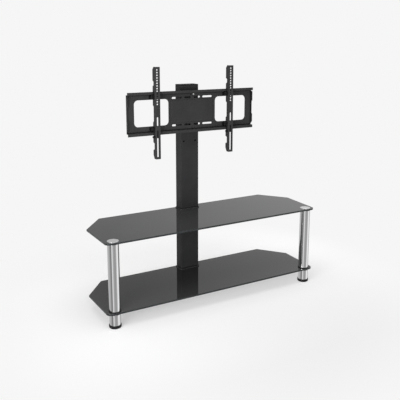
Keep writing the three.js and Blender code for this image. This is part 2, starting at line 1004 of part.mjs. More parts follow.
function railGuide(railCentre, low) {
  const right = railCentre - railFaceWidth / 2 - seatGap;
  const back = plateFace - guideFaceGap;
  const outline = box2d(right - guideWidth, back - guideDepth, right, back, guideCornerRadius);
  return lying(outline, [], low, low + guideHeight);
}

// Assembly

const stand = new THREE.Group();

function place(name, solid, material) {
  const mesh = new THREE.Mesh(toGeometry(solid), material);
  mesh.name = name;
  stand.add(mesh);
}

function placeShelves() {
  place('top_shelf', glassShelf(topShelfHeight, topGlass), finishes.glass);
  place('lower_shelf', glassShelf(lowerShelfHeight, lowerGlass), finishes.glass);
}

function placeLeg(side, x) {
  place(`leg_cap_disc_${side}`, capDisc(x), finishes.disc);
  place(`leg_top_plug_${side}`, topPlug(x), finishes.plastic);
  place(`leg_upper_tube_${side}`, tube(x, upperTubeBottom, upperTubeTop), finishes.chrome);
  place(`leg_tie_rod_${side}`, legRod(x), finishes.zinc);
  place(`leg_collar_ring_${side}`, collarRing(x), finishes.plastic);
  place(`leg_under_washer_${side}`, underWasher(x), finishes.plastic);
  place(`leg_lower_tube_${side}`, tube(x, lowerTubeBottom, lowerTubeTop), finishes.chrome);
  place(`leg_base_plug_${side}`, basePlug(x), finishes.plastic);
  place(`front_foot_cup_${side}`, footCup(x), finishes.plastic);
  place(`front_foot_stud_${side}`, stud(x, legY, footFloor, lowerTubeBottom + studReach), finishes.zinc);
}

function placeColumn() {
  place('column_base_section', columnSection(baseSectionBottom, baseSectionTop, true), finishes.columnPaint);
  place('column_middle_section', columnSection(midSectionBottom, midSectionTop, true), finishes.columnPaint);
  place('column_upper_section', upperSection(), finishes.columnPaint);
  place('column_top_cap', columnCap(), finishes.plastic);
  place('collar_under_lower_shelf', columnCollar(lowerCollarUnder), finishes.plastic);
  place('collar_over_lower_shelf', columnCollar(lowerCollarOver), finishes.plastic);
  place('collar_under_top_shelf', columnCollar(upperCollarUnder), finishes.plastic);
  place('collar_over_top_shelf', columnCollar(upperCollarOver), finishes.plastic);
  place('column_tie_rod_left', columnRod(-1), finishes.zinc);
  place('column_tie_rod_right', columnRod(1), finishes.zinc);
  place('cable_grommet_upper', cableGrommet(outletHeights[0]), finishes.plastic);
  place('cable_grommet_lower', cableGrommet(outletHeights[1]), finishes.plastic);
  place('rear_base_plate', basePlate(), finishes.columnPaint);
}

function placeRearFoot(side, x) {
  place(`rear_foot_pad_${side}`, rearPad(x), finishes.plastic);
  place(`rear_foot_stud_${side}`, stud(x, columnY, padFloor, basePlateTop + rearStudTip), finishes.zinc);
}

function placeMount() {
  place('mount_plate', mountPlate(), finishes.mountPaint);
  place('mount_carriage', carriage(), finishes.mountPaint);
  place('clamp_plate', clampPlate(), finishes.darkSteel);
  place('clamp_bolt_upper_left', clampBolt(-1, upperBoltHeight), finishes.darkSteel);
  place('clamp_bolt_upper_right', clampBolt(1, upperBoltHeight), finishes.darkSteel);
  place('clamp_bolt_lower_left', clampBolt(-1, lowerBoltHeight), finishes.darkSteel);
  place('clamp_bolt_lower_right', clampBolt(1, lowerBoltHeight), finishes.darkSteel);
  place('bubble_level', bubbleLevel(), finishes.vial);
}

function placeRail(side, x) {
  place(`tv_rail_${side}`, rail(x), finishes.mountPaint);
  place(`upper_guide_${side}`, railGuide(x, upperFold - upperGuideGap - guideHeight), finishes.plastic);
  place(`lower_guide_${side}`, railGuide(x, lowerFold + lowerGuideGap), finishes.plastic);
  place(`safety_latch_${side}`, safetyLatch(x), finishes.plastic);
}

placeShelves();
placeColumn();
placeMount();
for (const [side, sign] of [['left', -1], ['right', 1]]) {
  placeLeg(side, sign * legX);
  placeRearFoot(side, sign * rearFootX);
  placeRail(side, (sign * railSpacing) / 2);
}

export default stand;
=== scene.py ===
"""Studio scene of the glass television stand with its hook-on mount.

Sizes are in millimetres and are turned into metres when a mesh is made.
X is the width, Y runs from front to back and Z is up.
"""

import json
import math

import bmesh
import bpy
from mathutils import Matrix, Vector

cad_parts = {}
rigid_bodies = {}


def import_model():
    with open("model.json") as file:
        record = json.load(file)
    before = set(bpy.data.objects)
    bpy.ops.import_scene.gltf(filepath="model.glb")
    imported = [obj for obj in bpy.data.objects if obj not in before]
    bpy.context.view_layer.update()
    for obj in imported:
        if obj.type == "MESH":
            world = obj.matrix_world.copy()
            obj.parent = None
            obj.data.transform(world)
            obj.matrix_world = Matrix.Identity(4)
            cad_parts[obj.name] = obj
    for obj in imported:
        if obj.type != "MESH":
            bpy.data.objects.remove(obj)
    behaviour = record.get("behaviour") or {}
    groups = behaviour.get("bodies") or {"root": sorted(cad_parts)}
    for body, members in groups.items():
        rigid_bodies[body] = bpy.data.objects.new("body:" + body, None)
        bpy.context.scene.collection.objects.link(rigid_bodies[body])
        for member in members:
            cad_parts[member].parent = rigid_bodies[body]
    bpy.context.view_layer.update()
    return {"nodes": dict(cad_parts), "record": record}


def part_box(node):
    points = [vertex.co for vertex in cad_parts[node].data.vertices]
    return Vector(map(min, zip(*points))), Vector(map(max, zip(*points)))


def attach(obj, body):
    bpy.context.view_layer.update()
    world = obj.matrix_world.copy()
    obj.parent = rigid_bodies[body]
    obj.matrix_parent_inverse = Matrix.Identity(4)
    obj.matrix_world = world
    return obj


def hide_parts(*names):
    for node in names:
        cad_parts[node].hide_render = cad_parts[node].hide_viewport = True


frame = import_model()

MM = 0.001
FINE = "_fine"
SLOTS = {row["node"]: row["material_slot"] for row in frame["record"]["subparts"]}
BODIES = {
    node: body
    for body, nodes in frame["record"]["behaviour"]["bodies"].items()
    for node in nodes
}

# Sizes of the stand, as in the solid model: glass shelves

SHELF_WIDTH = 1142
SHELF_FRONT_WIDTH = 1127
SHELF_REAR_WIDTH = 930
SHELF_DEPTH = 369
SHELF_SIDE_DEPTH = 236
SHELF_FRONT_RADIUS = 24
SHELF_CORNER_RADIUS = 5
SHELF_EDGE = 0.9
GLASS_HOLE_RADIUS = 7

# Front legs and all feet

LEG_X = 523
LEG_Y = -156.5
TUBE_RADIUS = 25.4
TUBE_WALL = 2
TUBE_EDGE = 0.3
DISC_RADIUS = 25.5
DISC_THICKNESS = 1
DISC_EDGE = 0.35
RING_RADIUS = 27
RING_EDGE = 1.2
SPIGOT_RADIUS = 4
ROD_HOLE_RADIUS = 4.3
PLUG_RADIUS = 23.1
PLUG_FLANGE = 1.7
FOOT_RADIUS = 27.7
FOOT_CHAMFER = 3
FOOT_EDGE = 0.8
FOOT_WALL_INSIDE = 25.7
FOOT_SEAT = 8
FOOT_FLOOR = 2
STUD_MOUTH_RADIUS = 6
STUD_POCKET_RADIUS = 10.3
STUD_POCKET_TOP = 5.6
STUD_RADIUS = 4
STUD_HEAD_RADIUS = 10
STUD_HEAD_THICKNESS = 3
STUD_EDGE = 0.5
ROD_RADIUS = 4
PAD_X = 112
PAD_RADIUS = 18
PAD_CHAMFER = 1.5
PAD_EDGE = 0.5
PAD_FLOOR = 2

# Column and its fittings

COLUMN_ROD_X = 30
COLUMN_Y = 148.75
COLUMN_BACK = 176.5
COLUMN_WIDTH = 103
COLUMN_DEPTH = 55.5
COLUMN_RADIUS = 6
COLUMN_WALL = 2
COLUMN_GAP = 0.3
COLLAR_GROWTH = 4.2
COLLAR_EDGE = 0.5
ROD_HOLE_WIDE = 5.6
CAP_FLANGE = 4
CAP_EDGE = 1.2
CAP_SKIRT_WALL = 2
BASE_WIDTH = 260
BASE_MARGIN = 1
BASE_CORNER = 14
BASE_EDGE = 0.6
OUTLET_WIDTH = 44
OUTLET_HEIGHT = 26
GROMMET_LIP = 2.5
GROMMET_WALL = 2
GROMMET_FLANGE = 1.6
GROMMET_EDGE = 0.5

# Mount plate and level

PLATE_WIDTH = 693
PLATE_TOP = 1002
PLATE_BOTTOM = 796.5
PLATE_SHEET = 2.5
PLATE_FACE = 92.5
PLATE_BACK = 95
LIP_FRONT = 76.5
LIP_HEIGHT = 14
BEND_INSIDE = 1.0
SHEET_EDGE = 0.25
WINDOW_INNER = 129
WINDOW_OUTER = 307.8
WINDOW_TOP = 964
WINDOW_BOTTOM = 838
WINDOW_RADIUS = 20
SLOT_HEIGHT = 9
SLOT_ROW_SHIFT = 3.3
SLOT_SPANS = ((8, 43.7), (57, 111))
PANEL_WIDTH = 232
PANEL_HEIGHT = 112
PANEL_RISE = 1.5
PANEL_SLOPE = 3
PANEL_RADIUS = 8
PLATE_BEND = BEND_INSIDE + PLATE_SHEET
UPPER_FOLD = PLATE_TOP - LIP_HEIGHT
LOWER_FOLD = PLATE_BOTTOM + LIP_HEIGHT
WINDOW_MIDDLE = (WINDOW_TOP + WINDOW_BOTTOM) / 2
END_RELIEF = 4
END_FRONT = 80
END_NOTCH_HEIGHT = 62
END_NOTCH_DEPTH = 5.8
END_CHAMFER = 14
END_SMALL_RADIUS = 1
END_RADIUS = 2
LEVEL_HOLE_RADIUS = 3.6
LEVEL_OFFSET = 7.5
LEVEL_SHIFT = 1.2
LEVEL_DROP = 20
LEVEL_RADIUS = 4.5
LEVEL_HEIGHT = 2.4
LEVEL_DOME = 1.2
LEVEL_EDGE = 0.4
LEVEL_RIM_SHARE = 0.72

# Television rails

RAIL_SPACING = 403.5
RAIL_TOP = 1118
RAIL_BOTTOM = 683
RAIL_FACE_WIDTH = 24.5
RAIL_SHEET = 2.5
RAIL_FACE = 57
RAIL_BACK = 87.5
RAIL_BEND = BEND_INSIDE + RAIL_SHEET
RAIL_TOP_CUT = 12
RAIL_TAIL_CUT_DEPTH = 11
RAIL_TAIL_CUT_HEIGHT = 18
RAIL_CORNER = 0.8
RAIL_HOLE_RADIUS = 3.75
RAIL_HOLE_SHIFT = 2.4
RAIL_HOLE_PITCH = 12.27
RAIL_HOLE_COUNT = 14
RAIL_HOLE_DROP = 14
SHORT_SLOT_DROP = 234
SHORT_SLOT_LENGTH = 42
LONG_SLOT_LENGTH = 128
LONG_SLOT_RISE = 10
WAIST_DEPTH = 8.4
WAIST_LOW = 863.5
WAIST_HIGH = 932.5
WAIST_EASE = 6
HEEL_DEPTH = 12.7
HEEL_LOW = 729
HEEL_HIGH = 757.5
HEEL_EASE = 4.3
RELIEF_LOW = 1032
RELIEF_HIGH = 1050
RELIEF_EASE = 4
RELIEF_DEPTH = 10
MOUTH_FRONT = 74.5
MOUTH_GAP = 3
HOOK_SEAT = 0.3
HOOK_BACK = 81
HOOK_REACH = 9
HOOK_DROP = 4

# Safety latches

LATCH_LOW = 783.8
LATCH_HIGH = 822
LATCH_BLOCK_BACK = 74.2
LATCH_TOE_TOP = 793.5
LATCH_HOOK_TOP = 803
LATCH_BACK = 87
LATCH_SIDE_INSET = 1
LATCH_EDGE = 0.6
LATCH_PIN_Y = 70.5
LATCH_PIN_HEIGHT = 789
LATCH_PIN_RADIUS = 2.5
LATCH_PIN_HOLE = 2.8
LATCH_PIN_GRIP = 3
LATCH_KNOB_RADIUS = 4.5
LATCH_KNOB_LENGTH = 10
LATCH_KNOB_GROOVE = 0.5

# Rail guides

GUIDE_WIDTH = 14
GUIDE_FRONT = 72.1
GUIDE_BACK = 92.1
GUIDE_CORNER = 1.75
GUIDE_GROOVE_WIDTH = 4
GUIDE_GROOVE_DEPTH = 3
GUIDE_EDGE = 0.7

# Gaps between pieces, and how far the sheets of one piece overlap

PIECE_GAP = 0.3
PROUD = 0.012

# Roundness and soft edges

ROUND_STEPS = 96
HOLE_STEPS = 28
CORNER_STEPS = 10
FILLET_STEPS = 4
LEAST_MITRE_SHARE = 0.2
LEAST_CORNERS = 3
SHARP_ANGLE = math.radians(38)
FACE_AREA_WEIGHT = 90
CAD_EDGE = 0.35
CAD_EDGE_STEPS = 2
CAD_WELD = 0.001
CAD_SMOOTH_ANGLE = math.radians(42)


# Outlines in a plane

def rounded(corners, steps=CORNER_STEPS):
    """Returns the points of an outline of (x, y, radius) corners, each corner rounded."""
    points = []
    for place, (x, y, radius) in enumerate(corners):
        here = Vector((x, y))
        if not radius:
            points.append(here)
            continue
        before = Vector(corners[place - 1][:2])
        after = Vector(corners[(place + 1) % len(corners)][:2])
        back = (before - here).normalized()
        ahead = (after - here).normalized()
        half = math.acos(max(-1.0, min(1.0, back.dot(ahead)))) / 2
        centre = here + (back + ahead).normalized() * (radius / math.sin(half))
        first = here + back * (radius / math.tan(half)) - centre
        last = here + ahead * (radius / math.tan(half)) - centre
        turn = math.atan2(first.x * last.y - first.y * last.x, first.dot(last))
        for step in range(steps + 1):
            points.append(centre + Matrix.Rotation(turn * step / steps, 2) @ first)
    return points


def box_outline(left, bottom, right, top, radius=0):
    corners = ((left, bottom), (right, bottom), (right, top), (left, top))
    return rounded([(x, y, radius) for x, y in corners])


def circle_outline(x, y, radius):
    points = []
    for step in range(HOLE_STEPS):
        angle = 2 * math.pi * step / HOLE_STEPS
        points.append(Vector((x + radius * math.cos(angle), y + radius * math.sin(angle))))
    return points


def slot_outline(left, bottom, right, top):
    """Returns a slot whose round ends keep a sliver of flat, so that no points meet."""
    radius = min(right - left, top - bottom) / 2
    return box_outline(left, bottom, right, top, radius - PROUD)


def signed_area(outline):
    total = 0.0
    for place, here in enumerate(outline):
        after = outline[(place + 1) % len(outline)]
        total += here.x * after.y - after.x * here.y
    return total / 2


def wound(outline, anticlockwise):
    """Returns an outline that runs the way that is asked for."""
    turns_left = signed_area(outline) > 0
    return list(outline) if turns_left == anticlockwise else list(reversed(outline))


def inset(outline, distance):
    """Moves an anticlockwise outline inwards, or a clockwise one outwards."""
    moved = []
    for place, here in enumerate(outline):
        before = outline[place - 1]
        after = outline[(place + 1) % len(outline)]
        into = (here - before).normalized()
        out_of = (after - here).normalized()
        first = Vector((-into.y, into.x))
        last = Vector((-out_of.y, out_of.x))
        middle = (first + last).normalized()
        mitre_share = max(middle.dot(first), LEAST_MITRE_SHARE)
        moved.append(here + middle * (distance / mitre_share))
    return moved


# Meshes: an outline lies flat, faces the front, or faces along the width

LYING = Matrix.Identity(4)
FACING = Matrix(((1, 0, 0, 0), (0, 0, -1, 0), (0, 1, 0, 0), (0, 0, 0, 1)))
SIDEWAYS = Matrix(((0, 0, 1, 0), (1, 0, 0, 0), (0, 1, 0, 0), (0, 0, 0, 1)))


def edge_levels(low, high, edge):
    """Returns (inset, height) up the side of a sheet, round its filleted edges."""
    levels = []
    for step in range(FILLET_STEPS + 1):
        angle = math.pi / 2 * step / FILLET_STEPS
        levels.append((edge * (1 - math.sin(angle)), low + edge * (1 - math.cos(angle))))
    return levels + [(shift, low + high - height) for shift, height in reversed(levels)]


def add_side(mesh, loop, levels, turn):
    """Adds the side of a sheet along one loop, and returns its lowest and highest ring."""
    rings = []
    for shift, height in levels:
        points = inset(loop, shift) if shift else loop
        rings.append([mesh.verts.new(turn @ Vector((*point, height))) for point in points])
    for below, above in zip(rings, rings[1:]):
        for place in range(len(loop)):
            after = (place + 1) % len(loop)
            face = mesh.faces.new((below[place], below[after], above[after], above[place]))
            face.smooth = True
    return rings[0], rings[-1]


def close_end(mesh, rings, normal):
    """Fills the flat face between the ring of an outline and those of its holes."""
    edges = []
    for ring in rings:
        for place, vertex in enumerate(ring):
            edges.append(mesh.edges.get((vertex, ring[(place + 1) % len(ring)])))
    made = bmesh.ops.triangle_fill(
        mesh, use_beauty=True, use_dissolve=False, edges=edges, normal=normal
    )
    for face in made["geom"]:
        if isinstance(face, bmesh.types.BMFace):
            face.smooth = False
            face.normal_update()
            if face.normal.dot(normal) < 0:
                face.normal_flip()


def add_sheet(mesh, outline, holes, low, high, edge, turn=LYING):
    """Adds a flat sheet with holes, its edges rounded by the length edge."""
    loops = [wound(outline, True)] + [wound(hole, False) for hole in holes]
    levels = edge_levels(low, high, edge)
    ends = [add_side(mesh, loop, levels, turn) for loop in loops]
    upwards = turn.to_3x3() @ Vector((0, 0, 1))
    close_end(mesh, [lowest for lowest, highest in ends], -upwards)
    close_end(mesh, [highest for lowest, highest in ends], upwards)


def add_turned(mesh, corners, x, y, steps=ROUND_STEPS, turn=LYING):
    """Adds a closed profile of (radius, height, fillet) turned about an axis at x, y."""
    rings = []
    for radius, height in rounded(corners, FILLET_STEPS):
        if radius <= 0:
            rings.append([mesh.verts.new(turn @ Vector((x, y, height)))])
            continue
        ring = []
        for step in range(steps):
            angle = 2 * math.pi * step / steps
            spoke = Vector((x + radius * math.cos(angle), y + radius * math.sin(angle), height))
            ring.append(mesh.verts.new(turn @ spoke))
        rings.append(ring)
    for place, below in enumerate(rings):
        above = rings[(place + 1) % len(rings)]
        for step in range(steps):
            after = (step + 1) % steps
            points = [below[step % len(below)], below[after % len(below)]]
            points += [above[after % len(above)], above[step % len(above)]]
            single = list(dict.fromkeys(points))
            if len(single) >= LEAST_CORNERS:
                mesh.faces.new(single).smooth = True


def fine_piece(node, mesh, materials):
    """Turns a mesh in millimetres into an object in metres that stands for a node."""
    name = f"{node}{FINE}"
    bmesh.ops.scale(mesh, vec=(MM, MM, MM), verts=mesh.verts)
    data = bpy.data.meshes.new(name)
    mesh.to_mesh(data)
    mesh.free()
    data.set_sharp_from_angle(angle=SHARP_ANGLE)
    piece = bpy.data.objects.new(name, data)
    bpy.context.scene.collection.objects.link(piece)
    for material in materials:
        data.materials.append(material)
    weigh_normals(piece)
    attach(piece, BODIES[node])
    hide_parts(node)


def weigh_normals(piece):
    modifier = piece.modifiers.new("normals", "WEIGHTED_NORMAL")
    modifier.keep_sharp = True
    modifier.weight = FACE_AREA_WEIGHT


def finished_piece(node, mesh):
    fine_piece(node, mesh, [FINISHES[SLOTS[node]]])


def turned_piece(node, corners, x, y):
    mesh = bmesh.new()
    add_turned(mesh, corners, x, y)
    finished_piece(node, mesh)


def span(node):
    """Returns the heights of a node's underside and top, in millimetres."""
    low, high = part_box(node)
    return low.z / MM, high.z / MM


# Node trees

GRAIN_SPAN = (0.3, 0.7)
# Painted shade in folds and corners: rays, reach in metres and how steeply it darkens
FOLD_SHADE_SAMPLES = 8
FOLD_SHADE_REACH = 0.006
FOLD_SHADE_POWER = 2.5


def feed(tree, socket, value):
    """Sets a socket to a number, or links an output to it."""
    if isinstance(value, bpy.types.NodeSocket):
        tree.links.new(value, socket)
    else:
        socket.default_value = value


def moved_range(tree, value, source, target=(0.0, 1.0), kind="LINEAR"):
    """Returns a value taken from the range source to the range target."""
    node = tree.nodes.new("ShaderNodeMapRange")
    node.interpolation_type = kind
    for place, level in enumerate((value, *source, *target)):
        feed(tree, node.inputs[place], level)
    return node.outputs["Result"]


def maths(tree, operation, first, second):
    """Returns the result of an operation on two values."""
    node = tree.nodes.new("ShaderNodeMath")
    node.operation = operation
    feed(tree, node.inputs[0], first)
    feed(tree, node.inputs[1], second)
    return node.outputs["Value"]


def mixed(tree, factor, first, second):
    """Returns a value that goes from the first to the second with the factor."""
    node = tree.nodes.new("ShaderNodeMix")
    feed(tree, node.inputs["Factor"], factor)
    feed(tree, node.inputs["A"], first)
    feed(tree, node.inputs["B"], second)
    return node.outputs["Result"]


def mixed_shaders(tree, factor, first, second):
    node = tree.nodes.new("ShaderNodeMixShader")
    for place, source in enumerate((factor, first, second)):
        feed(tree, node.inputs[place], source)
    return node.outputs["Shader"]


def grain(tree, scale, detail, stretch=(1, 1, 1)):
    """Returns a noise output in object space."""
    place = tree.nodes.new("ShaderNodeTexCoord")
    mapping = tree.nodes.new("ShaderNodeMapping")
    mapping.inputs["Scale"].default_value = stretch
    noise = tree.nodes.new("ShaderNodeTexNoise")
    noise.inputs["Scale"].default_value = scale
    noise.inputs["Detail"].default_value = detail
    tree.links.new(place.outputs["Object"], mapping.inputs["Vector"])
    tree.links.new(mapping.outputs["Vector"], noise.inputs["Vector"])
    return noise.outputs["Fac"]


def ramp(tree, factor, dark, light):
    """Returns a colour that goes from dark to light in the middle part of a grain."""
    node = tree.nodes.new("ShaderNodeValToRGB")
    for stop, place, colour in zip(node.color_ramp.elements, GRAIN_SPAN, (dark, light)):
        stop.position = place
        stop.color = (*colour, 1)
    tree.links.new(factor, node.inputs["Fac"])
    return node.outputs["Color"]


def roughened(tree, shader, factor, lowest, highest):
    """Lets the roughness follow a grain."""
    roughness = moved_range(tree, factor, (0.0, 1.0), (lowest, highest))
    tree.links.new(roughness, shader.inputs["Roughness"])


def bumped(tree, shader, factor, strength, distance):
    node = tree.nodes.new("ShaderNodeBump")
    node.inputs["Strength"].default_value = strength
    node.inputs["Distance"].default_value = distance
    tree.links.new(factor, node.inputs["Height"])
    tree.links.new(node.outputs["Normal"], shader.inputs["Normal"])


def painted_fold_shade(tree, colour):
    """Darkens a colour with painted shade in folds and corners, where the occlusion node finds
    nearby surfaces.
    """
    recess = tree.nodes.new("ShaderNodeAmbientOcclusion")
    recess.samples = FOLD_SHADE_SAMPLES
    recess.inputs["Distance"].default_value = FOLD_SHADE_REACH
    depth = maths(tree, "POWER", recess.outputs["AO"], FOLD_SHADE_POWER)
    shaded = tree.nodes.new("ShaderNodeVectorMath")
    shaded.operation = "SCALE"
    tree.links.new(colour, shaded.inputs["Vector"])
    tree.links.new(depth, shaded.inputs["Scale"])
    return shaded.outputs["Vector"]


# Materials

PAINT_IOR = 1.12
PAINT_TONE_SCALE = 14.0
PAINT_TONE_DETAIL = 3.0
PAINT_PEEL_DETAIL = 2.0
PAINT_PEEL_DEPTH = 0.0004
PAINT_SMOOTHER = 0.05
PAINT_ROUGHER = 0.07
METAL_DETAIL = 4.0
METAL_DEPTH = 0.0002
METAL_SMOOTHER = 0.03
METAL_ROUGHER = 0.05
PLASTIC_IOR = 1.3
PLASTIC_SCALE = 900.0
PLASTIC_DETAIL = 2.0
PLASTIC_STRENGTH = 0.12
PLASTIC_DEPTH = 0.0003
PLASTIC_SMOOTHER = 0.04
PLASTIC_ROUGHER = 0.08
GLASS_IOR = 1.52
GLASS_SCALE = 5.0
GLASS_DETAIL = 3.0
GLASS_SMOOTHEST = 0.02
GLASS_ROUGHEST = 0.05
GLASS_EDGE_SCALE = 30.0
GLASS_EDGE_DETAIL = 2.0
GLASS_EDGE_STRETCH = (1, 1, 0.2)
GLASS_EDGE_SMOOTHEST = 0.10
GLASS_EDGE_ROUGHEST = 0.20
VIAL_SCALE = 300.0
VIAL_DETAIL = 1.0
VIAL_ROUGHNESS = 0.08
VIAL_COAT_SHARE = 0.6


def new_material(name):
    material = bpy.data.materials.new(name)
    material.use_nodes = True
    return material, material.node_tree, material.node_tree.nodes["Principled BSDF"]


def paint(name, dark, light, roughness, scale, strength):
    """Powder coat: a fine orange-peel surface with slight changes of tone, and painted shade in
    its folds and corners.
    """
    material, tree, shader = new_material(name)
    tone = grain(tree, PAINT_TONE_SCALE, PAINT_TONE_DETAIL)
    # The base colour gets painted shade in folds and corners
    colour = painted_fold_shade(tree, ramp(tree, tone, dark, light))
    tree.links.new(colour, shader.inputs["Base Color"])
    peel = grain(tree, scale, PAINT_PEEL_DETAIL)
    roughened(tree, shader, peel, roughness - PAINT_SMOOTHER, roughness + PAINT_ROUGHER)
    bumped(tree, shader, peel, strength, PAINT_PEEL_DEPTH)
    shader.inputs["IOR"].default_value = PAINT_IOR
    return material


def metal(name, dark, light, roughness, scale, strength, stretch=(1, 1, 1)):
    """Metal with a fine grain, which is stretched along a drawn tube."""
    material, tree, shader = new_material(name)
    lines = grain(tree, scale, METAL_DETAIL, stretch)
    tree.links.new(ramp(tree, lines, dark, light), shader.inputs["Base Color"])
    roughened(tree, shader, lines, roughness - METAL_SMOOTHER, roughness + METAL_ROUGHER)
    bumped(tree, shader, lines, strength, METAL_DEPTH)
    shader.inputs["Metallic"].default_value = 1.0
    return material


def moulded(name, dark, light, roughness):
    """Moulded plastic with a fine matte speckle."""
    material, tree, shader = new_material(name)
    speckle = grain(tree, PLASTIC_SCALE, PLASTIC_DETAIL)
    tree.links.new(ramp(tree, speckle, dark, light), shader.inputs["Base Color"])
    roughened(tree, shader, speckle, roughness - PLASTIC_SMOOTHER, roughness + PLASTIC_ROUGHER)
    bumped(tree, shader, speckle, PLASTIC_STRENGTH, PLASTIC_DEPTH)
    shader.inputs["IOR"].default_value = PLASTIC_IOR
    return material


def tinted_glass():
    """The shelves' dark faces, with faint smears in the gloss."""
    material, tree, shader = new_material("dark_glass")
    smear = grain(tree, GLASS_SCALE, GLASS_DETAIL)
    dark = (0.038, 0.0382, 0.039)
    light = (0.044, 0.0442, 0.045)
    tree.links.new(ramp(tree, smear, dark, light), shader.inputs["Base Color"])
    roughened(tree, shader, smear, GLASS_SMOOTHEST, GLASS_ROUGHEST)
    shader.inputs["IOR"].default_value = GLASS_IOR
    return material


def glass_edge():
    """The shelves' ground edges, darker and a little cooler than their faces."""
    material, tree, shader = new_material("dark_glass_edge")
    streak = grain(tree, GLASS_EDGE_SCALE, GLASS_EDGE_DETAIL, GLASS_EDGE_STRETCH)
    dark = (0.012, 0.014, 0.015)
    light = (0.024, 0.027, 0.028)
    tree.links.new(ramp(tree, streak, dark, light), shader.inputs["Base Color"])
    roughened(tree, shader, streak, GLASS_EDGE_SMOOTHEST, GLASS_EDGE_ROUGHEST)
    shader.inputs["IOR"].default_value = GLASS_IOR
    return material


def level_vial():
    """The pale liquid of the round level under its clear dome."""
    material, tree, shader = new_material("level_vial")
    tint = grain(tree, VIAL_SCALE, VIAL_DETAIL)
    dark = (0.31, 0.32, 0.30)
    light = (0.40, 0.41, 0.39)
    tree.links.new(ramp(tree, tint, dark, light), shader.inputs["Base Color"])
    shader.inputs["Roughness"].default_value = VIAL_ROUGHNESS
    shader.inputs["Coat Weight"].default_value = VIAL_COAT_SHARE
    return material


COLUMN_PAINT = paint(
    "column_paint",
    dark=(0.0275, 0.0275, 0.0285),
    light=(0.033, 0.033, 0.034),
    roughness=0.46,
    scale=1400.0,
    strength=0.10,
)
MOUNT_PAINT = paint(
    "mount_paint",
    dark=(0.0315, 0.0315, 0.0325),
    light=(0.037, 0.037, 0.038),
    roughness=0.44,
    scale=1500.0,
    strength=0.12,
)
GLASS = tinted_glass()
EDGE_GLASS = glass_edge()
CHROME = metal(
    "polished_tube",
    dark=(0.74, 0.74, 0.75),
    light=(0.82, 0.82, 0.83),
    roughness=0.09,
    scale=8.0,
    strength=0.02,
    stretch=(60, 60, 0.4),
)
DISC = metal(
    "satin_disc",
    dark=(0.84, 0.84, 0.85),
    light=(0.95, 0.95, 0.96),
    roughness=0.38,
    scale=160.0,
    strength=0.04,
)
ZINC = metal(
    "zinc_plate",
    dark=(0.48, 0.49, 0.50),
    light=(0.60, 0.61, 0.62),
    roughness=0.36,
    scale=220.0,
    strength=0.06,
)
DARK_STEEL = metal(
    "black_oxide",
    dark=(0.045, 0.045, 0.047),
    light=(0.075, 0.075, 0.078),
    roughness=0.38,
    scale=260.0,
    strength=0.06,
)
PLASTIC = moulded(
    "black_plastic",
    dark=(0.004, 0.004, 0.0045),
    light=(0.007, 0.007, 0.0075),
    roughness=0.52,
)
COLLAR_PLASTIC = moulded(
    "dark_grey_plastic",
    dark=(0.036, 0.036, 0.037),
    light=(0.044, 0.044, 0.045),
    roughness=0.50,
)
VIAL = level_vial()

FINISHES = {
    "glass": GLASS,
    "chrome": CHROME,
    "disc": DISC,
    "zinc": ZINC,
    "plastic": PLASTIC,
    "column_paint": COLUMN_PAINT,
    "mount_paint": MOUNT_PAINT,
    "dark_steel": DARK_STEEL,
    "vial": VIAL,
}


# Glass shelves

def shelf_outline():
    front = -SHELF_DEPTH / 2
    right = [
        (SHELF_FRONT_WIDTH / 2, front, SHELF_FRONT_RADIUS),
        (SHELF_WIDTH / 2, front + SHELF_SIDE_DEPTH, SHELF_CORNER_RADIUS),
        (SHELF_REAR_WIDTH / 2, front + SHELF_DEPTH, SHELF_CORNER_RADIUS),
    ]
    left = [(-x, y, radius) for x, y, radius in reversed(right)]
    return rounded(right + left)


def glass_shelf(node):
    low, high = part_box(node)
    holes = []
    for side in (-1, 1):
        holes.append(circle_outline(side * LEG_X, LEG_Y, GLASS_HOLE_RADIUS))
        holes.append(circle_outline(side * COLUMN_ROD_X, COLUMN_Y, GLASS_HOLE_RADIUS))
    mesh = bmesh.new()
    add_sheet(mesh, shelf_outline(), holes, low.z / MM, high.z / MM, SHELF_EDGE)
    materials = [GLASS, EDGE_GLASS]
    for face in mesh.faces:
        face.material_index = materials.index(EDGE_GLASS if face.smooth else GLASS)
    fine_piece(node, mesh, materials)


# Front legs

def hollow_profile(inner, outer, low, high, edge):
    return [(inner, low, edge), (outer, low, edge), (outer, high, edge), (inner, high, edge)]


def rod_profile(radius, low, high):
    return [(0, low, 0), (radius, low, STUD_EDGE), (radius, high, STUD_EDGE), (0, high, 0)]


def leg_cap_disc(side, x):
    node = f"leg_cap_disc_{side}"
    low, high = span(node)
    shoulder = high - DISC_THICKNESS
    turned_piece(node, [
        (0, low, 0),
        (SPIGOT_RADIUS, low, DISC_EDGE),
        (SPIGOT_RADIUS, shoulder, 0),
        (DISC_RADIUS, shoulder, DISC_EDGE / 2),
        (DISC_RADIUS, high, DISC_EDGE),
        (0, high, 0),
    ], x, LEG_Y)


def leg_top_plug(side, x):
    node = f"leg_top_plug_{side}"
    low, high = span(node)
    shoulder = high - PLUG_FLANGE
    turned_piece(node, [
        (ROD_HOLE_RADIUS, low, TUBE_EDGE),
        (PLUG_RADIUS, low, TUBE_EDGE),
        (PLUG_RADIUS, shoulder, 0),
        (TUBE_RADIUS, shoulder, TUBE_EDGE),
        (TUBE_RADIUS, high, TUBE_EDGE),
        (ROD_HOLE_RADIUS, high, TUBE_EDGE),
    ], x, LEG_Y)


# Plain rings of a leg: name, inner radius, outer radius and edge

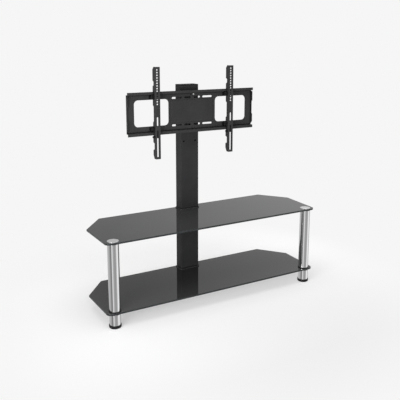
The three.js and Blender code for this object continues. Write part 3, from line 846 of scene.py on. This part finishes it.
LEG_RINGS = (
    ("leg_upper_tube", TUBE_RADIUS - TUBE_WALL, TUBE_RADIUS, TUBE_EDGE),
    ("leg_lower_tube", TUBE_RADIUS - TUBE_WALL, TUBE_RADIUS, TUBE_EDGE),
    ("leg_collar_ring", ROD_HOLE_RADIUS, RING_RADIUS, RING_EDGE),
    ("leg_under_washer", ROD_HOLE_RADIUS, TUBE_RADIUS, TUBE_EDGE),
    ("leg_base_plug", ROD_HOLE_RADIUS, PLUG_RADIUS, TUBE_EDGE),
)


def leg(side, sign):
    x = sign * LEG_X
    leg_cap_disc(side, x)
    for name, inner, outer, edge in LEG_RINGS:
        node = f"{name}_{side}"
        turned_piece(node, hollow_profile(inner, outer, *span(node), edge), x, LEG_Y)
    leg_top_plug(side, x)
    rod = f"leg_tie_rod_{side}"
    turned_piece(rod, rod_profile(ROD_RADIUS, *span(rod)), x, LEG_Y)
    foot_cup(side, x)
    levelling_stud(f"front_foot_stud_{side}", x, LEG_Y)


def levelling_stud(node, x, y):
    low, high = span(node)
    neck = low + STUD_HEAD_THICKNESS
    turned_piece(node, [
        (0, low, 0),
        (STUD_HEAD_RADIUS, low, STUD_EDGE),
        (STUD_HEAD_RADIUS, neck, STUD_EDGE),
        (STUD_RADIUS, neck, 0),
        (STUD_RADIUS, high, STUD_EDGE),
        (0, high, 0),
    ], x, y)


def foot_cup(side, x):
    node = f"front_foot_cup_{side}"
    low, high = span(node)
    seat = low + FOOT_SEAT
    turned_piece(node, [
        (0, low, 0),
        (FOOT_RADIUS - FOOT_CHAMFER, low, FOOT_EDGE),
        (FOOT_RADIUS, low + FOOT_CHAMFER, FOOT_EDGE),
        (FOOT_RADIUS, high, FOOT_EDGE),
        (FOOT_WALL_INSIDE, high, FOOT_EDGE),
        (FOOT_WALL_INSIDE, seat, 0),
        (STUD_MOUTH_RADIUS, seat, TUBE_EDGE),
        (STUD_MOUTH_RADIUS, low + STUD_POCKET_TOP, 0),
        (STUD_POCKET_RADIUS, low + STUD_POCKET_TOP, 0),
        (STUD_POCKET_RADIUS, low + FOOT_FLOOR, 0),
        (0, low + FOOT_FLOOR, 0),
    ], x, LEG_Y)


# Mount plate

def plate_holes():
    """Returns the outlines of the plate's windows, slots and small hole."""
    holes = []
    for sign in (-1, 1):
        left, right = sorted((sign * WINDOW_INNER, sign * WINDOW_OUTER))
        holes.append(box_outline(left, WINDOW_BOTTOM, right, WINDOW_TOP, WINDOW_RADIUS))
        for row in (WINDOW_TOP + SLOT_ROW_SHIFT, WINDOW_BOTTOM - SLOT_ROW_SHIFT):
            low = row - SLOT_HEIGHT / 2
            for start, end in SLOT_SPANS:
                left, right = sorted((sign * start, sign * end))
                holes.append(slot_outline(left, low, right, row + SLOT_HEIGHT / 2))
    hole_x = -LEVEL_SHIFT - LEVEL_OFFSET
    holes.append(circle_outline(hole_x, PLATE_TOP - LEVEL_DROP, LEVEL_HOLE_RADIUS))
    return holes


def panel_outline():
    half_width = PANEL_WIDTH / 2
    low = WINDOW_MIDDLE - PANEL_HEIGHT / 2
    high = WINDOW_MIDDLE + PANEL_HEIGHT / 2
    return box_outline(-half_width, low, half_width, high, PANEL_RADIUS)


def mount_plate():
    mesh = bmesh.new()
    half = PLATE_WIDTH / 2
    sheet = box_outline(-half, LOWER_FOLD, half, UPPER_FOLD)
    panel = panel_outline()
    holes = [*plate_holes(), panel]
    add_sheet(mesh, sheet, holes, -PLATE_BACK, -PLATE_FACE, SHEET_EDGE, FACING)
    add_pressed_panel(mesh, panel)
    for fold, way in ((UPPER_FOLD, 1), (LOWER_FOLD, -1)):
        add_hook_lip(mesh, fold, way)
    for sign in (-1, 1):
        add_end_flange(mesh, sign)
    finished_piece("mount_plate", mesh)


def add_hook_lip(mesh, fold, way):
    """Adds a lip that the rails hook over, folded forwards and then up or down."""
    lip = fold + way * LIP_HEIGHT
    inside = fold + way * PLATE_SHEET
    root = fold - way * PLATE_BEND
    lip_back = LIP_FRONT + PLATE_SHEET
    profile = rounded([
        (PLATE_BACK + PROUD, root, 0),
        (PLATE_BACK + PROUD, inside, PLATE_BEND),
        (lip_back, inside, BEND_INSIDE),
        (lip_back, lip, 0),
        (LIP_FRONT, lip, 0),
        (LIP_FRONT, fold, PLATE_BEND),
        (PLATE_FACE - PROUD, fold, BEND_INSIDE),
        (PLATE_FACE - PROUD, root, 0),
    ])
    half = PLATE_WIDTH / 2
    add_sheet(mesh, profile, [], -half, half, SHEET_EDGE, SIDEWAYS)


def add_pressed_panel(mesh, outline):
    """Adds the raised middle of the plate, a shallow tray of the same sheet."""
    loop = wound(outline, True)
    outer = inset(loop, -PROUD)
    inner = inset(loop, PANEL_SLOPE)
    flat = inset(loop, 2 * PANEL_SLOPE)
    sides = []
    for face_y in (PLATE_FACE, PLATE_BACK):
        rise = face_y - PANEL_RISE
        steps = ((outer, face_y), (inner, rise), (flat, rise))
        sides.append([
            [mesh.verts.new((point.x, y, point.y)) for point in points] for points, y in steps
        ])
    front, back = sides
    count = len(loop)
    for place in range(count):
        after = (place + 1) % count
        for near, far in zip(front, front[1:]):
            mesh.faces.new((near[place], near[after], far[after], far[place])).smooth = True
        for near, far in zip(back, back[1:]):
            mesh.faces.new((far[place], far[after], near[after], near[place])).smooth = True
        rim = (back[0][place], back[0][after], front[0][after], front[0][place])
        mesh.faces.new(rim).smooth = True
    mesh.faces.new(front[-1]).smooth = True
    mesh.faces.new(list(reversed(back[-1]))).smooth = True


def add_end_flange(mesh, sign):
    """Adds the short flange at one end of the plate, with a notch in its front."""
    high = UPPER_FOLD - END_RELIEF
    low = LOWER_FOLD + END_RELIEF
    notch = END_NOTCH_HEIGHT / 2
    outline = rounded([
        (PLATE_BACK, low, 0),
        (PLATE_BACK, high, 0),
        (END_FRONT + END_RELIEF, high, END_SMALL_RADIUS),
        (END_FRONT, high - END_RELIEF, END_SMALL_RADIUS),
        (END_FRONT, WINDOW_MIDDLE + notch + END_RELIEF, END_SMALL_RADIUS),
        (END_FRONT + END_NOTCH_DEPTH, WINDOW_MIDDLE + notch, END_RADIUS),
        (END_FRONT + END_NOTCH_DEPTH, WINDOW_MIDDLE - notch, END_RADIUS),
        (END_FRONT, WINDOW_MIDDLE - notch - END_RELIEF, END_SMALL_RADIUS),
        (END_FRONT, low + END_CHAMFER, END_RADIUS),
        (PLATE_FACE, low, 0),
    ], FILLET_STEPS)
    inside = sign * (PLATE_WIDTH / 2 - PLATE_SHEET)
    left, right = sorted((inside, sign * (PLATE_WIDTH / 2 + PROUD)))
    add_sheet(mesh, outline, [], left, right, SHEET_EDGE, SIDEWAYS)


def bubble_level():
    mesh = bmesh.new()
    foot = -PLATE_FACE + PIECE_GAP
    rim = foot + LEVEL_HEIGHT
    add_turned(mesh, [
        (0, foot, 0),
        (LEVEL_RADIUS, foot, 0),
        (LEVEL_RADIUS, rim, LEVEL_EDGE),
        (LEVEL_RADIUS * LEVEL_RIM_SHARE, rim, 0),
        (LEVEL_RADIUS * LEVEL_RIM_SHARE, rim + LEVEL_DOME, LEVEL_DOME),
        (0, rim + LEVEL_DOME, 0),
    ], LEVEL_OFFSET - LEVEL_SHIFT, PLATE_TOP - LEVEL_DROP, HOLE_STEPS, FACING)
    finished_piece("bubble_level", mesh)


# Television rails

def rail_left(sign):
    return sign * RAIL_SPACING / 2 - RAIL_FACE_WIDTH / 2


def flange_profile():
    """Returns the rail's side, with its hook, its lower mouth and the cuts in its back."""
    root = RAIL_FACE + BEND_INSIDE + RAIL_SHEET
    relief = RAIL_BACK - RELIEF_DEPTH
    waist = RAIL_BACK - WAIST_DEPTH
    heel = RAIL_BACK - HEEL_DEPTH
    soft = [
        (RAIL_BACK - RAIL_TAIL_CUT_DEPTH, RAIL_BOTTOM),
        (RAIL_BACK, RAIL_BOTTOM + RAIL_TAIL_CUT_HEIGHT),
        (RAIL_BACK, HEEL_LOW - HEEL_EASE),
        (heel, HEEL_LOW),
        (heel, HEEL_HIGH),
        (RAIL_BACK, HEEL_HIGH + HEEL_EASE),
        (RAIL_BACK, PLATE_BOTTOM - MOUTH_GAP),
        (MOUTH_FRONT, PLATE_BOTTOM - MOUTH_GAP),
        (MOUTH_FRONT, LOWER_FOLD + MOUTH_GAP),
        (RAIL_BACK, LOWER_FOLD + MOUTH_GAP),
        (RAIL_BACK, WAIST_LOW - WAIST_EASE),
        (waist, WAIST_LOW),
        (waist, WAIST_HIGH),
        (RAIL_BACK, WAIST_HIGH + WAIST_EASE),
        (RAIL_BACK, UPPER_FOLD - HOOK_DROP),
        (MOUTH_FRONT, UPPER_FOLD - HOOK_DROP),
        (MOUTH_FRONT, PLATE_TOP + HOOK_SEAT),
        (HOOK_BACK, PLATE_TOP + HOOK_SEAT),
        (HOOK_BACK, PLATE_TOP - HOOK_REACH),
        (RAIL_BACK, PLATE_TOP - HOOK_REACH),
        (RAIL_BACK, RELIEF_LOW - RELIEF_EASE),
        (relief, RELIEF_LOW),
        (relief, RELIEF_HIGH),
        (RAIL_BACK, RELIEF_HIGH + RELIEF_EASE),
        (RAIL_BACK, RAIL_TOP - RAIL_TOP_CUT),
        (RAIL_BACK - RAIL_TOP_CUT, RAIL_TOP),
    ]
    profile = [(root - PROUD, RAIL_BOTTOM, 0)]
    profile += [(y, z, RAIL_CORNER) for y, z in soft]
    profile.append((root - PROUD, RAIL_TOP, 0))
    return rounded(profile, FILLET_STEPS)


def rail_holes(row):
    """Returns the outlines of a rail's round holes and of its two slots."""
    holes = []
    for place in range(RAIL_HOLE_COUNT):
        height = RAIL_TOP - RAIL_HOLE_DROP - place * RAIL_HOLE_PITCH
        holes.append(circle_outline(row, height, RAIL_HOLE_RADIUS))
    left = row - RAIL_HOLE_RADIUS
    right = row + RAIL_HOLE_RADIUS
    short_top = RAIL_TOP - SHORT_SLOT_DROP
    long_bottom = RAIL_BOTTOM + LONG_SLOT_RISE
    holes.append(slot_outline(left, short_top - SHORT_SLOT_LENGTH, right, short_top))
    holes.append(slot_outline(left, long_bottom, right, long_bottom + LONG_SLOT_LENGTH))
    return holes


def rail(side, sign):
    """An angle of sheet: its face, its bend and its flange, which overlap by a hair."""
    mesh = bmesh.new()
    left = rail_left(sign)
    right = left + RAIL_FACE_WIDTH
    face = rounded([
        (left + RAIL_BEND - PROUD, RAIL_BOTTOM, 0),
        (right, RAIL_BOTTOM, RAIL_SHEET),
        (right, RAIL_TOP, RAIL_SHEET),
        (left + RAIL_BEND - PROUD, RAIL_TOP, 0),
    ])
    holes = rail_holes(sign * RAIL_SPACING / 2 - RAIL_HOLE_SHIFT)
    add_sheet(mesh, face, holes, -RAIL_FACE - RAIL_SHEET, -RAIL_FACE, SHEET_EDGE, FACING)
    corner = rounded([
        (left, RAIL_FACE + RAIL_BEND + PROUD, 0),
        (left, RAIL_FACE, RAIL_BEND),
        (left + RAIL_BEND + PROUD, RAIL_FACE, 0),
        (left + RAIL_BEND + PROUD, RAIL_FACE + RAIL_SHEET, 0),
        (left + RAIL_SHEET, RAIL_FACE + RAIL_SHEET, BEND_INSIDE),
        (left + RAIL_SHEET, RAIL_FACE + RAIL_BEND + PROUD, 0),
    ])
    add_sheet(mesh, corner, [], RAIL_BOTTOM, RAIL_TOP, PROUD, LYING)
    pin_hole = circle_outline(LATCH_PIN_Y, LATCH_PIN_HEIGHT, LATCH_PIN_HOLE)
    add_sheet(mesh, flange_profile(), [pin_hole], left, left + RAIL_SHEET, SHEET_EDGE, SIDEWAYS)
    finished_piece(f"tv_rail_{side}", mesh)


def add_latch_knob(mesh, left, right):
    """Adds the knob outside the rail, with a groove round its middle."""
    groove = LATCH_KNOB_RADIUS - LATCH_KNOB_GROOVE
    middle = (left + right) / 2
    add_turned(mesh, [
        (0, left, 0),
        (LATCH_KNOB_RADIUS, left, LATCH_EDGE),
        (LATCH_KNOB_RADIUS, middle - LATCH_EDGE, 0),
        (groove, middle, 0),
        (LATCH_KNOB_RADIUS, middle + LATCH_EDGE, 0),
        (LATCH_KNOB_RADIUS, right, LATCH_EDGE),
        (0, right, 0),
    ], LATCH_PIN_Y, LATCH_PIN_HEIGHT, HOLE_STEPS, SIDEWAYS)


def add_latch_pin(mesh, left, right):
    add_turned(mesh, [
        (0, left, 0),
        (LATCH_PIN_RADIUS, left, 0),
        (LATCH_PIN_RADIUS, right, 0),
        (0, right, 0),
    ], LATCH_PIN_Y, LATCH_PIN_HEIGHT, HOLE_STEPS, SIDEWAYS)


def safety_latch(side, sign):
    """The latch inside the rail, with a pin through the flange to a knob outside."""
    mesh = bmesh.new()
    left = rail_left(sign) + RAIL_SHEET + PIECE_GAP
    right = rail_left(sign) + RAIL_FACE_WIDTH - LATCH_SIDE_INSET
    front = RAIL_FACE + RAIL_SHEET + PIECE_GAP
    profile = rounded([
        (front, LATCH_LOW, LATCH_EDGE),
        (LATCH_BACK, LATCH_LOW, LATCH_EDGE),
        (LATCH_BACK, LATCH_HOOK_TOP, LATCH_EDGE),
        (HOOK_BACK, LATCH_HOOK_TOP, LATCH_EDGE),
        (HOOK_BACK, LATCH_TOE_TOP, LATCH_EDGE),
        (LATCH_BLOCK_BACK, LATCH_TOE_TOP, LATCH_EDGE),
        (LATCH_BLOCK_BACK, LATCH_HIGH, LATCH_EDGE),
        (front, LATCH_HIGH, LATCH_EDGE),
    ], FILLET_STEPS)
    add_sheet(mesh, profile, [], left, right, LATCH_EDGE, SIDEWAYS)
    knob_right = rail_left(sign) - PIECE_GAP
    add_latch_knob(mesh, knob_right - LATCH_KNOB_LENGTH, knob_right)
    add_latch_pin(mesh, knob_right - LATCH_PIN_GRIP, left + LATCH_PIN_GRIP)
    finished_piece(f"safety_latch_{side}", mesh)


def rail_guide(node, sign):
    mesh = bmesh.new()
    low, high = span(node)
    right = rail_left(sign) - PIECE_GAP
    left = right - GUIDE_WIDTH
    middle = (left + right) / 2
    groove = GUIDE_GROOVE_WIDTH / 2
    groove_back = GUIDE_FRONT + GUIDE_GROOVE_DEPTH
    profile = rounded([
        (left, GUIDE_FRONT, GUIDE_CORNER),
        (middle - groove, GUIDE_FRONT, GUIDE_EDGE),
        (middle - groove, groove_back, GUIDE_EDGE),
        (middle + groove, groove_back, GUIDE_EDGE),
        (middle + groove, GUIDE_FRONT, GUIDE_EDGE),
        (right, GUIDE_FRONT, GUIDE_CORNER),
        (right, GUIDE_BACK, GUIDE_CORNER),
        (left, GUIDE_BACK, GUIDE_CORNER),
    ])
    add_sheet(mesh, profile, [], low, high, GUIDE_EDGE, LYING)
    finished_piece(node, mesh)


# Column fittings

def column_outline(growth):
    half = COLUMN_WIDTH / 2 + growth
    front = COLUMN_BACK - COLUMN_DEPTH - growth
    radius = max(COLUMN_RADIUS + growth, COLUMN_WALL)
    return box_outline(-half, front, half, COLUMN_BACK + growth, radius)


def rod_holes():
    return [circle_outline(side * COLUMN_ROD_X, COLUMN_Y, ROD_HOLE_WIDE) for side in (-1, 1)]


def column_collar(node):
    mesh = bmesh.new()
    low, high = span(node)
    add_sheet(mesh, column_outline(COLLAR_GROWTH), rod_holes(), low, high, COLLAR_EDGE, LYING)
    fine_piece(node, mesh, [COLLAR_PLASTIC])


def column_cap():
    mesh = bmesh.new()
    low, high = span("column_top_cap")
    inside = -COLUMN_WALL - COLUMN_GAP
    add_sheet(mesh, column_outline(0), [], high - CAP_FLANGE, high, CAP_EDGE, LYING)
    skirt = [column_outline(inside - CAP_SKIRT_WALL)]
    skirt_top = high - CAP_FLANGE / 2
    add_sheet(mesh, column_outline(inside), skirt, low, skirt_top, SHEET_EDGE, LYING)
    finished_piece("column_top_cap", mesh)


def outlet_outline(height, growth):
    half_width = OUTLET_WIDTH / 2 + growth
    half_height = OUTLET_HEIGHT / 2 + growth
    return slot_outline(-half_width, height - half_height, half_width, height + half_height)


def cable_grommet(node):
    mesh = bmesh.new()
    low, high = span(node)
    height = (low + high) / 2
    inside = [outlet_outline(height, -COLUMN_GAP - GROMMET_WALL)]
    flange_front = COLUMN_BACK + COLUMN_GAP
    flange_back = flange_front + GROMMET_FLANGE
    neck_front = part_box(node)[0].y / MM
    flange = outlet_outline(height, GROMMET_LIP)
    add_sheet(mesh, flange, inside, -flange_back, -flange_front, GROMMET_EDGE, FACING)
    neck = outlet_outline(height, -COLUMN_GAP)
    neck_back = flange_front + GROMMET_FLANGE / 2
    add_sheet(mesh, neck, inside, -neck_back, -neck_front, SHEET_EDGE, FACING)
    finished_piece(node, mesh)


def base_plate():
    mesh = bmesh.new()
    low, high = span("rear_base_plate")
    front = COLUMN_BACK - COLUMN_DEPTH - BASE_MARGIN
    back = COLUMN_BACK + BASE_MARGIN
    outline = box_outline(-BASE_WIDTH / 2, front, BASE_WIDTH / 2, back, BASE_CORNER)
    holes = rod_holes()
    holes += [circle_outline(side * PAD_X, COLUMN_Y, ROD_HOLE_RADIUS) for side in (-1, 1)]
    add_sheet(mesh, outline, holes, low, high, BASE_EDGE, LYING)
    finished_piece("rear_base_plate", mesh)


def rear_foot(side, sign):
    x = sign * PAD_X
    node = f"rear_foot_pad_{side}"
    low, high = span(node)
    turned_piece(node, [
        (0, low, 0),
        (PAD_RADIUS - PAD_CHAMFER, low, PAD_EDGE),
        (PAD_RADIUS, low + PAD_CHAMFER, PAD_EDGE),
        (PAD_RADIUS, high - PAD_CHAMFER, PAD_EDGE),
        (PAD_RADIUS - PAD_CHAMFER, high, PAD_EDGE),
        (STUD_MOUTH_RADIUS, high, PAD_EDGE),
        (STUD_MOUTH_RADIUS, low + STUD_POCKET_TOP, 0),
        (STUD_POCKET_RADIUS, low + STUD_POCKET_TOP, 0),
        (STUD_POCKET_RADIUS, low + PAD_FLOOR, 0),
        (0, low + PAD_FLOOR, 0),
    ], x, COLUMN_Y)
    levelling_stud(f"rear_foot_stud_{side}", x, COLUMN_Y)


# Pieces that keep their solid

def dress_node(node):
    """Softens the edges of a solid and gives it its finish."""
    solid = frame["nodes"][node]
    for polygon in solid.data.polygons:
        polygon.use_smooth = True
    weld = solid.modifiers.new("weld", "WELD")
    weld.merge_threshold = CAD_WELD * MM
    bevel = solid.modifiers.new("edges", "BEVEL")
    bevel.width = CAD_EDGE * MM
    bevel.segments = CAD_EDGE_STEPS
    bevel.limit_method = "ANGLE"
    bevel.angle_limit = CAD_SMOOTH_ANGLE
    bevel.harden_normals = False
    weigh_normals(solid)
    solid.data.materials.clear()
    solid.data.materials.append(FINISHES[SLOTS[node]])


# Stage: by the object the floor is about half matte, and further away it is the backdrop

BACKGROUND = (0.92, 0.92, 0.92)
FLOOR_SIZE = 40.0
FLOOR_COLOUR = (0.98, 0.98, 0.98)
FLOOR_FADE_SPAN = (0.55, 1.2)
FLOOR_GLOW_SHARE = 0.52
FLOOR_WIDTH_SPAN = (-1.0, 1.0)
FLOOR_WIDTH_GLOW = (0.78, 1.14)
FLOOR_DEPTH_SPAN = (-0.75, 0.35)
FLOOR_DEPTH_LIFT = (-0.16, 0.22)


def floor_material():
    """Mixes a matte floor with a glow, which grows to the right and to the back."""
    material, tree, shader = new_material("pale_floor")
    tree.nodes.remove(shader)
    matte = tree.nodes.new("ShaderNodeBsdfDiffuse")
    matte.inputs["Color"].default_value = (*FLOOR_COLOUR, 1)
    glow = tree.nodes.new("ShaderNodeEmission")
    glow.inputs["Color"].default_value = (*BACKGROUND, 1)
    place = tree.nodes.new("ShaderNodeTexCoord").outputs["Object"]
    length = tree.nodes.new("ShaderNodeVectorMath")
    length.operation = "LENGTH"
    tree.links.new(place, length.inputs[0])
    distance = length.outputs["Value"]
    parts = tree.nodes.new("ShaderNodeSeparateXYZ")
    tree.links.new(place, parts.inputs["Vector"])
    across = moved_range(tree, parts.outputs["X"], FLOOR_WIDTH_SPAN, FLOOR_WIDTH_GLOW)
    deep = moved_range(tree, parts.outputs["Y"], FLOOR_DEPTH_SPAN, FLOOR_DEPTH_LIFT)
    away = moved_range(tree, distance, FLOOR_FADE_SPAN, kind="SMOOTHSTEP")
    strength = mixed(tree, away, maths(tree, "ADD", across, deep), 1.0)
    tree.links.new(strength, glow.inputs["Strength"])
    shares = (FLOOR_GLOW_SHARE, 1.0)
    fade = moved_range(tree, distance, FLOOR_FADE_SPAN, shares, "SMOOTHSTEP")
    surface = mixed_shaders(tree, fade, matte.outputs["BSDF"], glow.outputs["Emission"])
    tree.links.new(surface, tree.nodes["Material Output"].inputs["Surface"])
    return material


def floor():
    mesh = bmesh.new()
    bmesh.ops.create_grid(mesh, x_segments=1, y_segments=1, size=FLOOR_SIZE / 2)
    data = bpy.data.meshes.new("floor")
    mesh.to_mesh(data)
    mesh.free()
    data.materials.append(floor_material())
    plane = bpy.data.objects.new("floor", data)
    bpy.context.scene.collection.objects.link(plane)
    plane.visible_glossy = False


# Brightness of the studio's walls, by azimuth in degrees from the front towards the right

WALLS = (
    (-180, 0.70),
    (-146, 0.75),
    (-112, 0.63),
    (-87, 0.42),
    (-66, 0.20),
    (-45, 1.20),
    (-26, 0.58),
    (-6, 0.51),
    (14, 0.44),
    (33, 0.72),
    (57, 1.45),
    (84, 0.90),
    (127, 0.42),
    (160, 0.62),
    (180, 0.70),
)

# Brightness of the studio's ceiling, by the same azimuth

CEILING = (
    (-180, 0.61),
    (-150, 0.59),
    (120, 1.00),
    (141, 0.99),
    (160, 0.60),
    (180, 0.61),
)

# Heights where the ceiling begins and where it dims, as the upward part of a direction

CEILING_SPAN = (0.03, 0.16)
CROWN_SPAN = (0.30, 0.45)
CROWN_SHARE = 0.74

WORLD_AMBIENT = 0.24
QUARTER_TURN = 90
HALF_TURN = 180
FULL_TURN = 360


def round_the_room(tree, share, levels):
    """Returns a brightness that changes with the azimuth, given as a share of a turn."""
    room = tree.nodes.new("ShaderNodeValToRGB")
    stops = room.color_ramp.elements
    while len(stops) < len(levels):
        stops.new(1.0)
    for stop, (azimuth, strength) in zip(stops, levels):
        stop.position = (azimuth + HALF_TURN) / FULL_TURN
    for stop, (azimuth, strength) in zip(stops, levels):
        stop.color = (strength, strength, strength, 1)
    tree.links.new(share, room.inputs["Fac"])
    return room.outputs["Color"]


def studio_walls(tree):
    """Returns the brightness of walls with pale and dark panels under a ceiling."""
    direction = tree.nodes.new("ShaderNodeTexCoord")
    parts = tree.nodes.new("ShaderNodeSeparateXYZ")
    tree.links.new(direction.outputs["Generated"], parts.inputs["Vector"])
    height = parts.outputs["Z"]
    front = maths(tree, "MULTIPLY", parts.outputs["Y"], -1.0)
    angle = maths(tree, "ARCTAN2", parts.outputs["X"], front)
    share = moved_range(tree, angle, (-math.pi, math.pi))
    walls = round_the_room(tree, share, WALLS)
    ceiling = round_the_room(tree, share, CEILING)
    crown = moved_range(tree, height, CROWN_SPAN, (1.0, CROWN_SHARE))
    rise = moved_range(tree, height, CEILING_SPAN, kind="SMOOTHSTEP")
    return mixed(tree, rise, walls, maths(tree, "MULTIPLY", ceiling, crown))


def world():
    """An even light, the studio for glossy surfaces and a plain backdrop for the camera."""
    scene = bpy.context.scene
    scene.world = bpy.data.worlds.new("studio")
    scene.world.use_nodes = True
    tree = scene.world.node_tree
    ambient = tree.nodes["Background"]
    ambient.inputs["Color"].default_value = (1, 1, 1, 1)
    ambient.inputs["Strength"].default_value = WORLD_AMBIENT
    gloss = tree.nodes.new("ShaderNodeBackground")
    tree.links.new(studio_walls(tree), gloss.inputs["Strength"])
    shown = tree.nodes.new("ShaderNodeBackground")
    shown.inputs["Color"].default_value = (*BACKGROUND, 1)
    rays = tree.nodes.new("ShaderNodeLightPath").outputs
    even, studio, plain = [node.outputs["Background"] for node in (ambient, gloss, shown)]
    lit = mixed_shaders(tree, rays["Is Glossy Ray"], even, studio)
    seen = mixed_shaders(tree, rays["Is Camera Ray"], lit, plain)
    tree.links.new(seen, tree.nodes["World Output"].inputs["Surface"])


def lamp(name, place, target, size, power):
    light = bpy.data.lights.new(name, "AREA")
    light.shape = "RECTANGLE"
    light.size, light.size_y = size
    light.energy = power
    holder = bpy.data.objects.new(name, light)
    holder.location = place
    aim = Vector(target) - Vector(place)
    holder.rotation_euler = aim.to_track_quat("-Z", "Y").to_euler()
    bpy.context.scene.collection.objects.link(holder)


# Lamps: name, place, target, size and power, in metres and watts

LAMPS = (
    ("overhead", (-0.1, -0.5, 3.4), (0.0, 0.0, 0.5), (3.0, 2.4), 64.0),
    ("front_left", (-1.6, -1.05, 0.6), (0.0, 0.0, 0.6), (0.9, 0.9), 28.0),
    ("low_front", (-0.3, -2.6, 0.3), (0.0, 0.0, 0.3), (2.0, 0.5), 10.0),
    ("high_front", (-0.9, -2.2, 1.5), (0.0, 0.1, 1.05), (0.6, 0.6), 8.0),
)

# Camera: place in metres, yaw and pitch in degrees, lens in millimetres

CAMERA_PLACE = (-1.3606, -2.4109, 1.2273)
CAMERA_YAW = 29.29
CAMERA_PITCH = 10.99
CAMERA_LENS = 52.457
CAMERA_SHIFT = -0.11015
CAMERA_NEAR = 0.05


def camera():
    data = bpy.data.cameras.new("camera")
    data.lens = CAMERA_LENS
    data.shift_y = CAMERA_SHIFT
    data.clip_start = CAMERA_NEAR
    holder = bpy.data.objects.new("camera", data)
    holder.location = CAMERA_PLACE
    upright = math.radians(QUARTER_TURN - CAMERA_PITCH)
    holder.rotation_euler = (upright, 0, -math.radians(CAMERA_YAW))
    bpy.context.scene.collection.objects.link(holder)
    bpy.context.scene.camera = holder


camera()
world()
for row in LAMPS:
    lamp(*row)
floor()

for shelf in ("top_shelf", "lower_shelf"):
    glass_shelf(shelf)
for side_name, side_sign in (("left", -1), ("right", 1)):
    leg(side_name, side_sign)
    rear_foot(side_name, side_sign)
    rail(side_name, side_sign)
    safety_latch(side_name, side_sign)
    rail_guide(f"upper_guide_{side_name}", side_sign)
    rail_guide(f"lower_guide_{side_name}", side_sign)
mount_plate()
bubble_level()
for place_name in ("under_lower", "over_lower", "under_top", "over_top"):
    column_collar(f"collar_{place_name}_shelf")
column_cap()
for place_name in ("upper", "lower"):
    cable_grommet(f"cable_grommet_{place_name}")
base_plate()

names = [name for name in bpy.data.objects.keys() if name.endswith(FINE)]
replaced = {name.removesuffix(FINE) for name in names}
for node_name in frame["nodes"]:
    if node_name not in replaced:
        dress_node(node_name)

bpy.context.scene.view_settings.view_transform = "Standard"
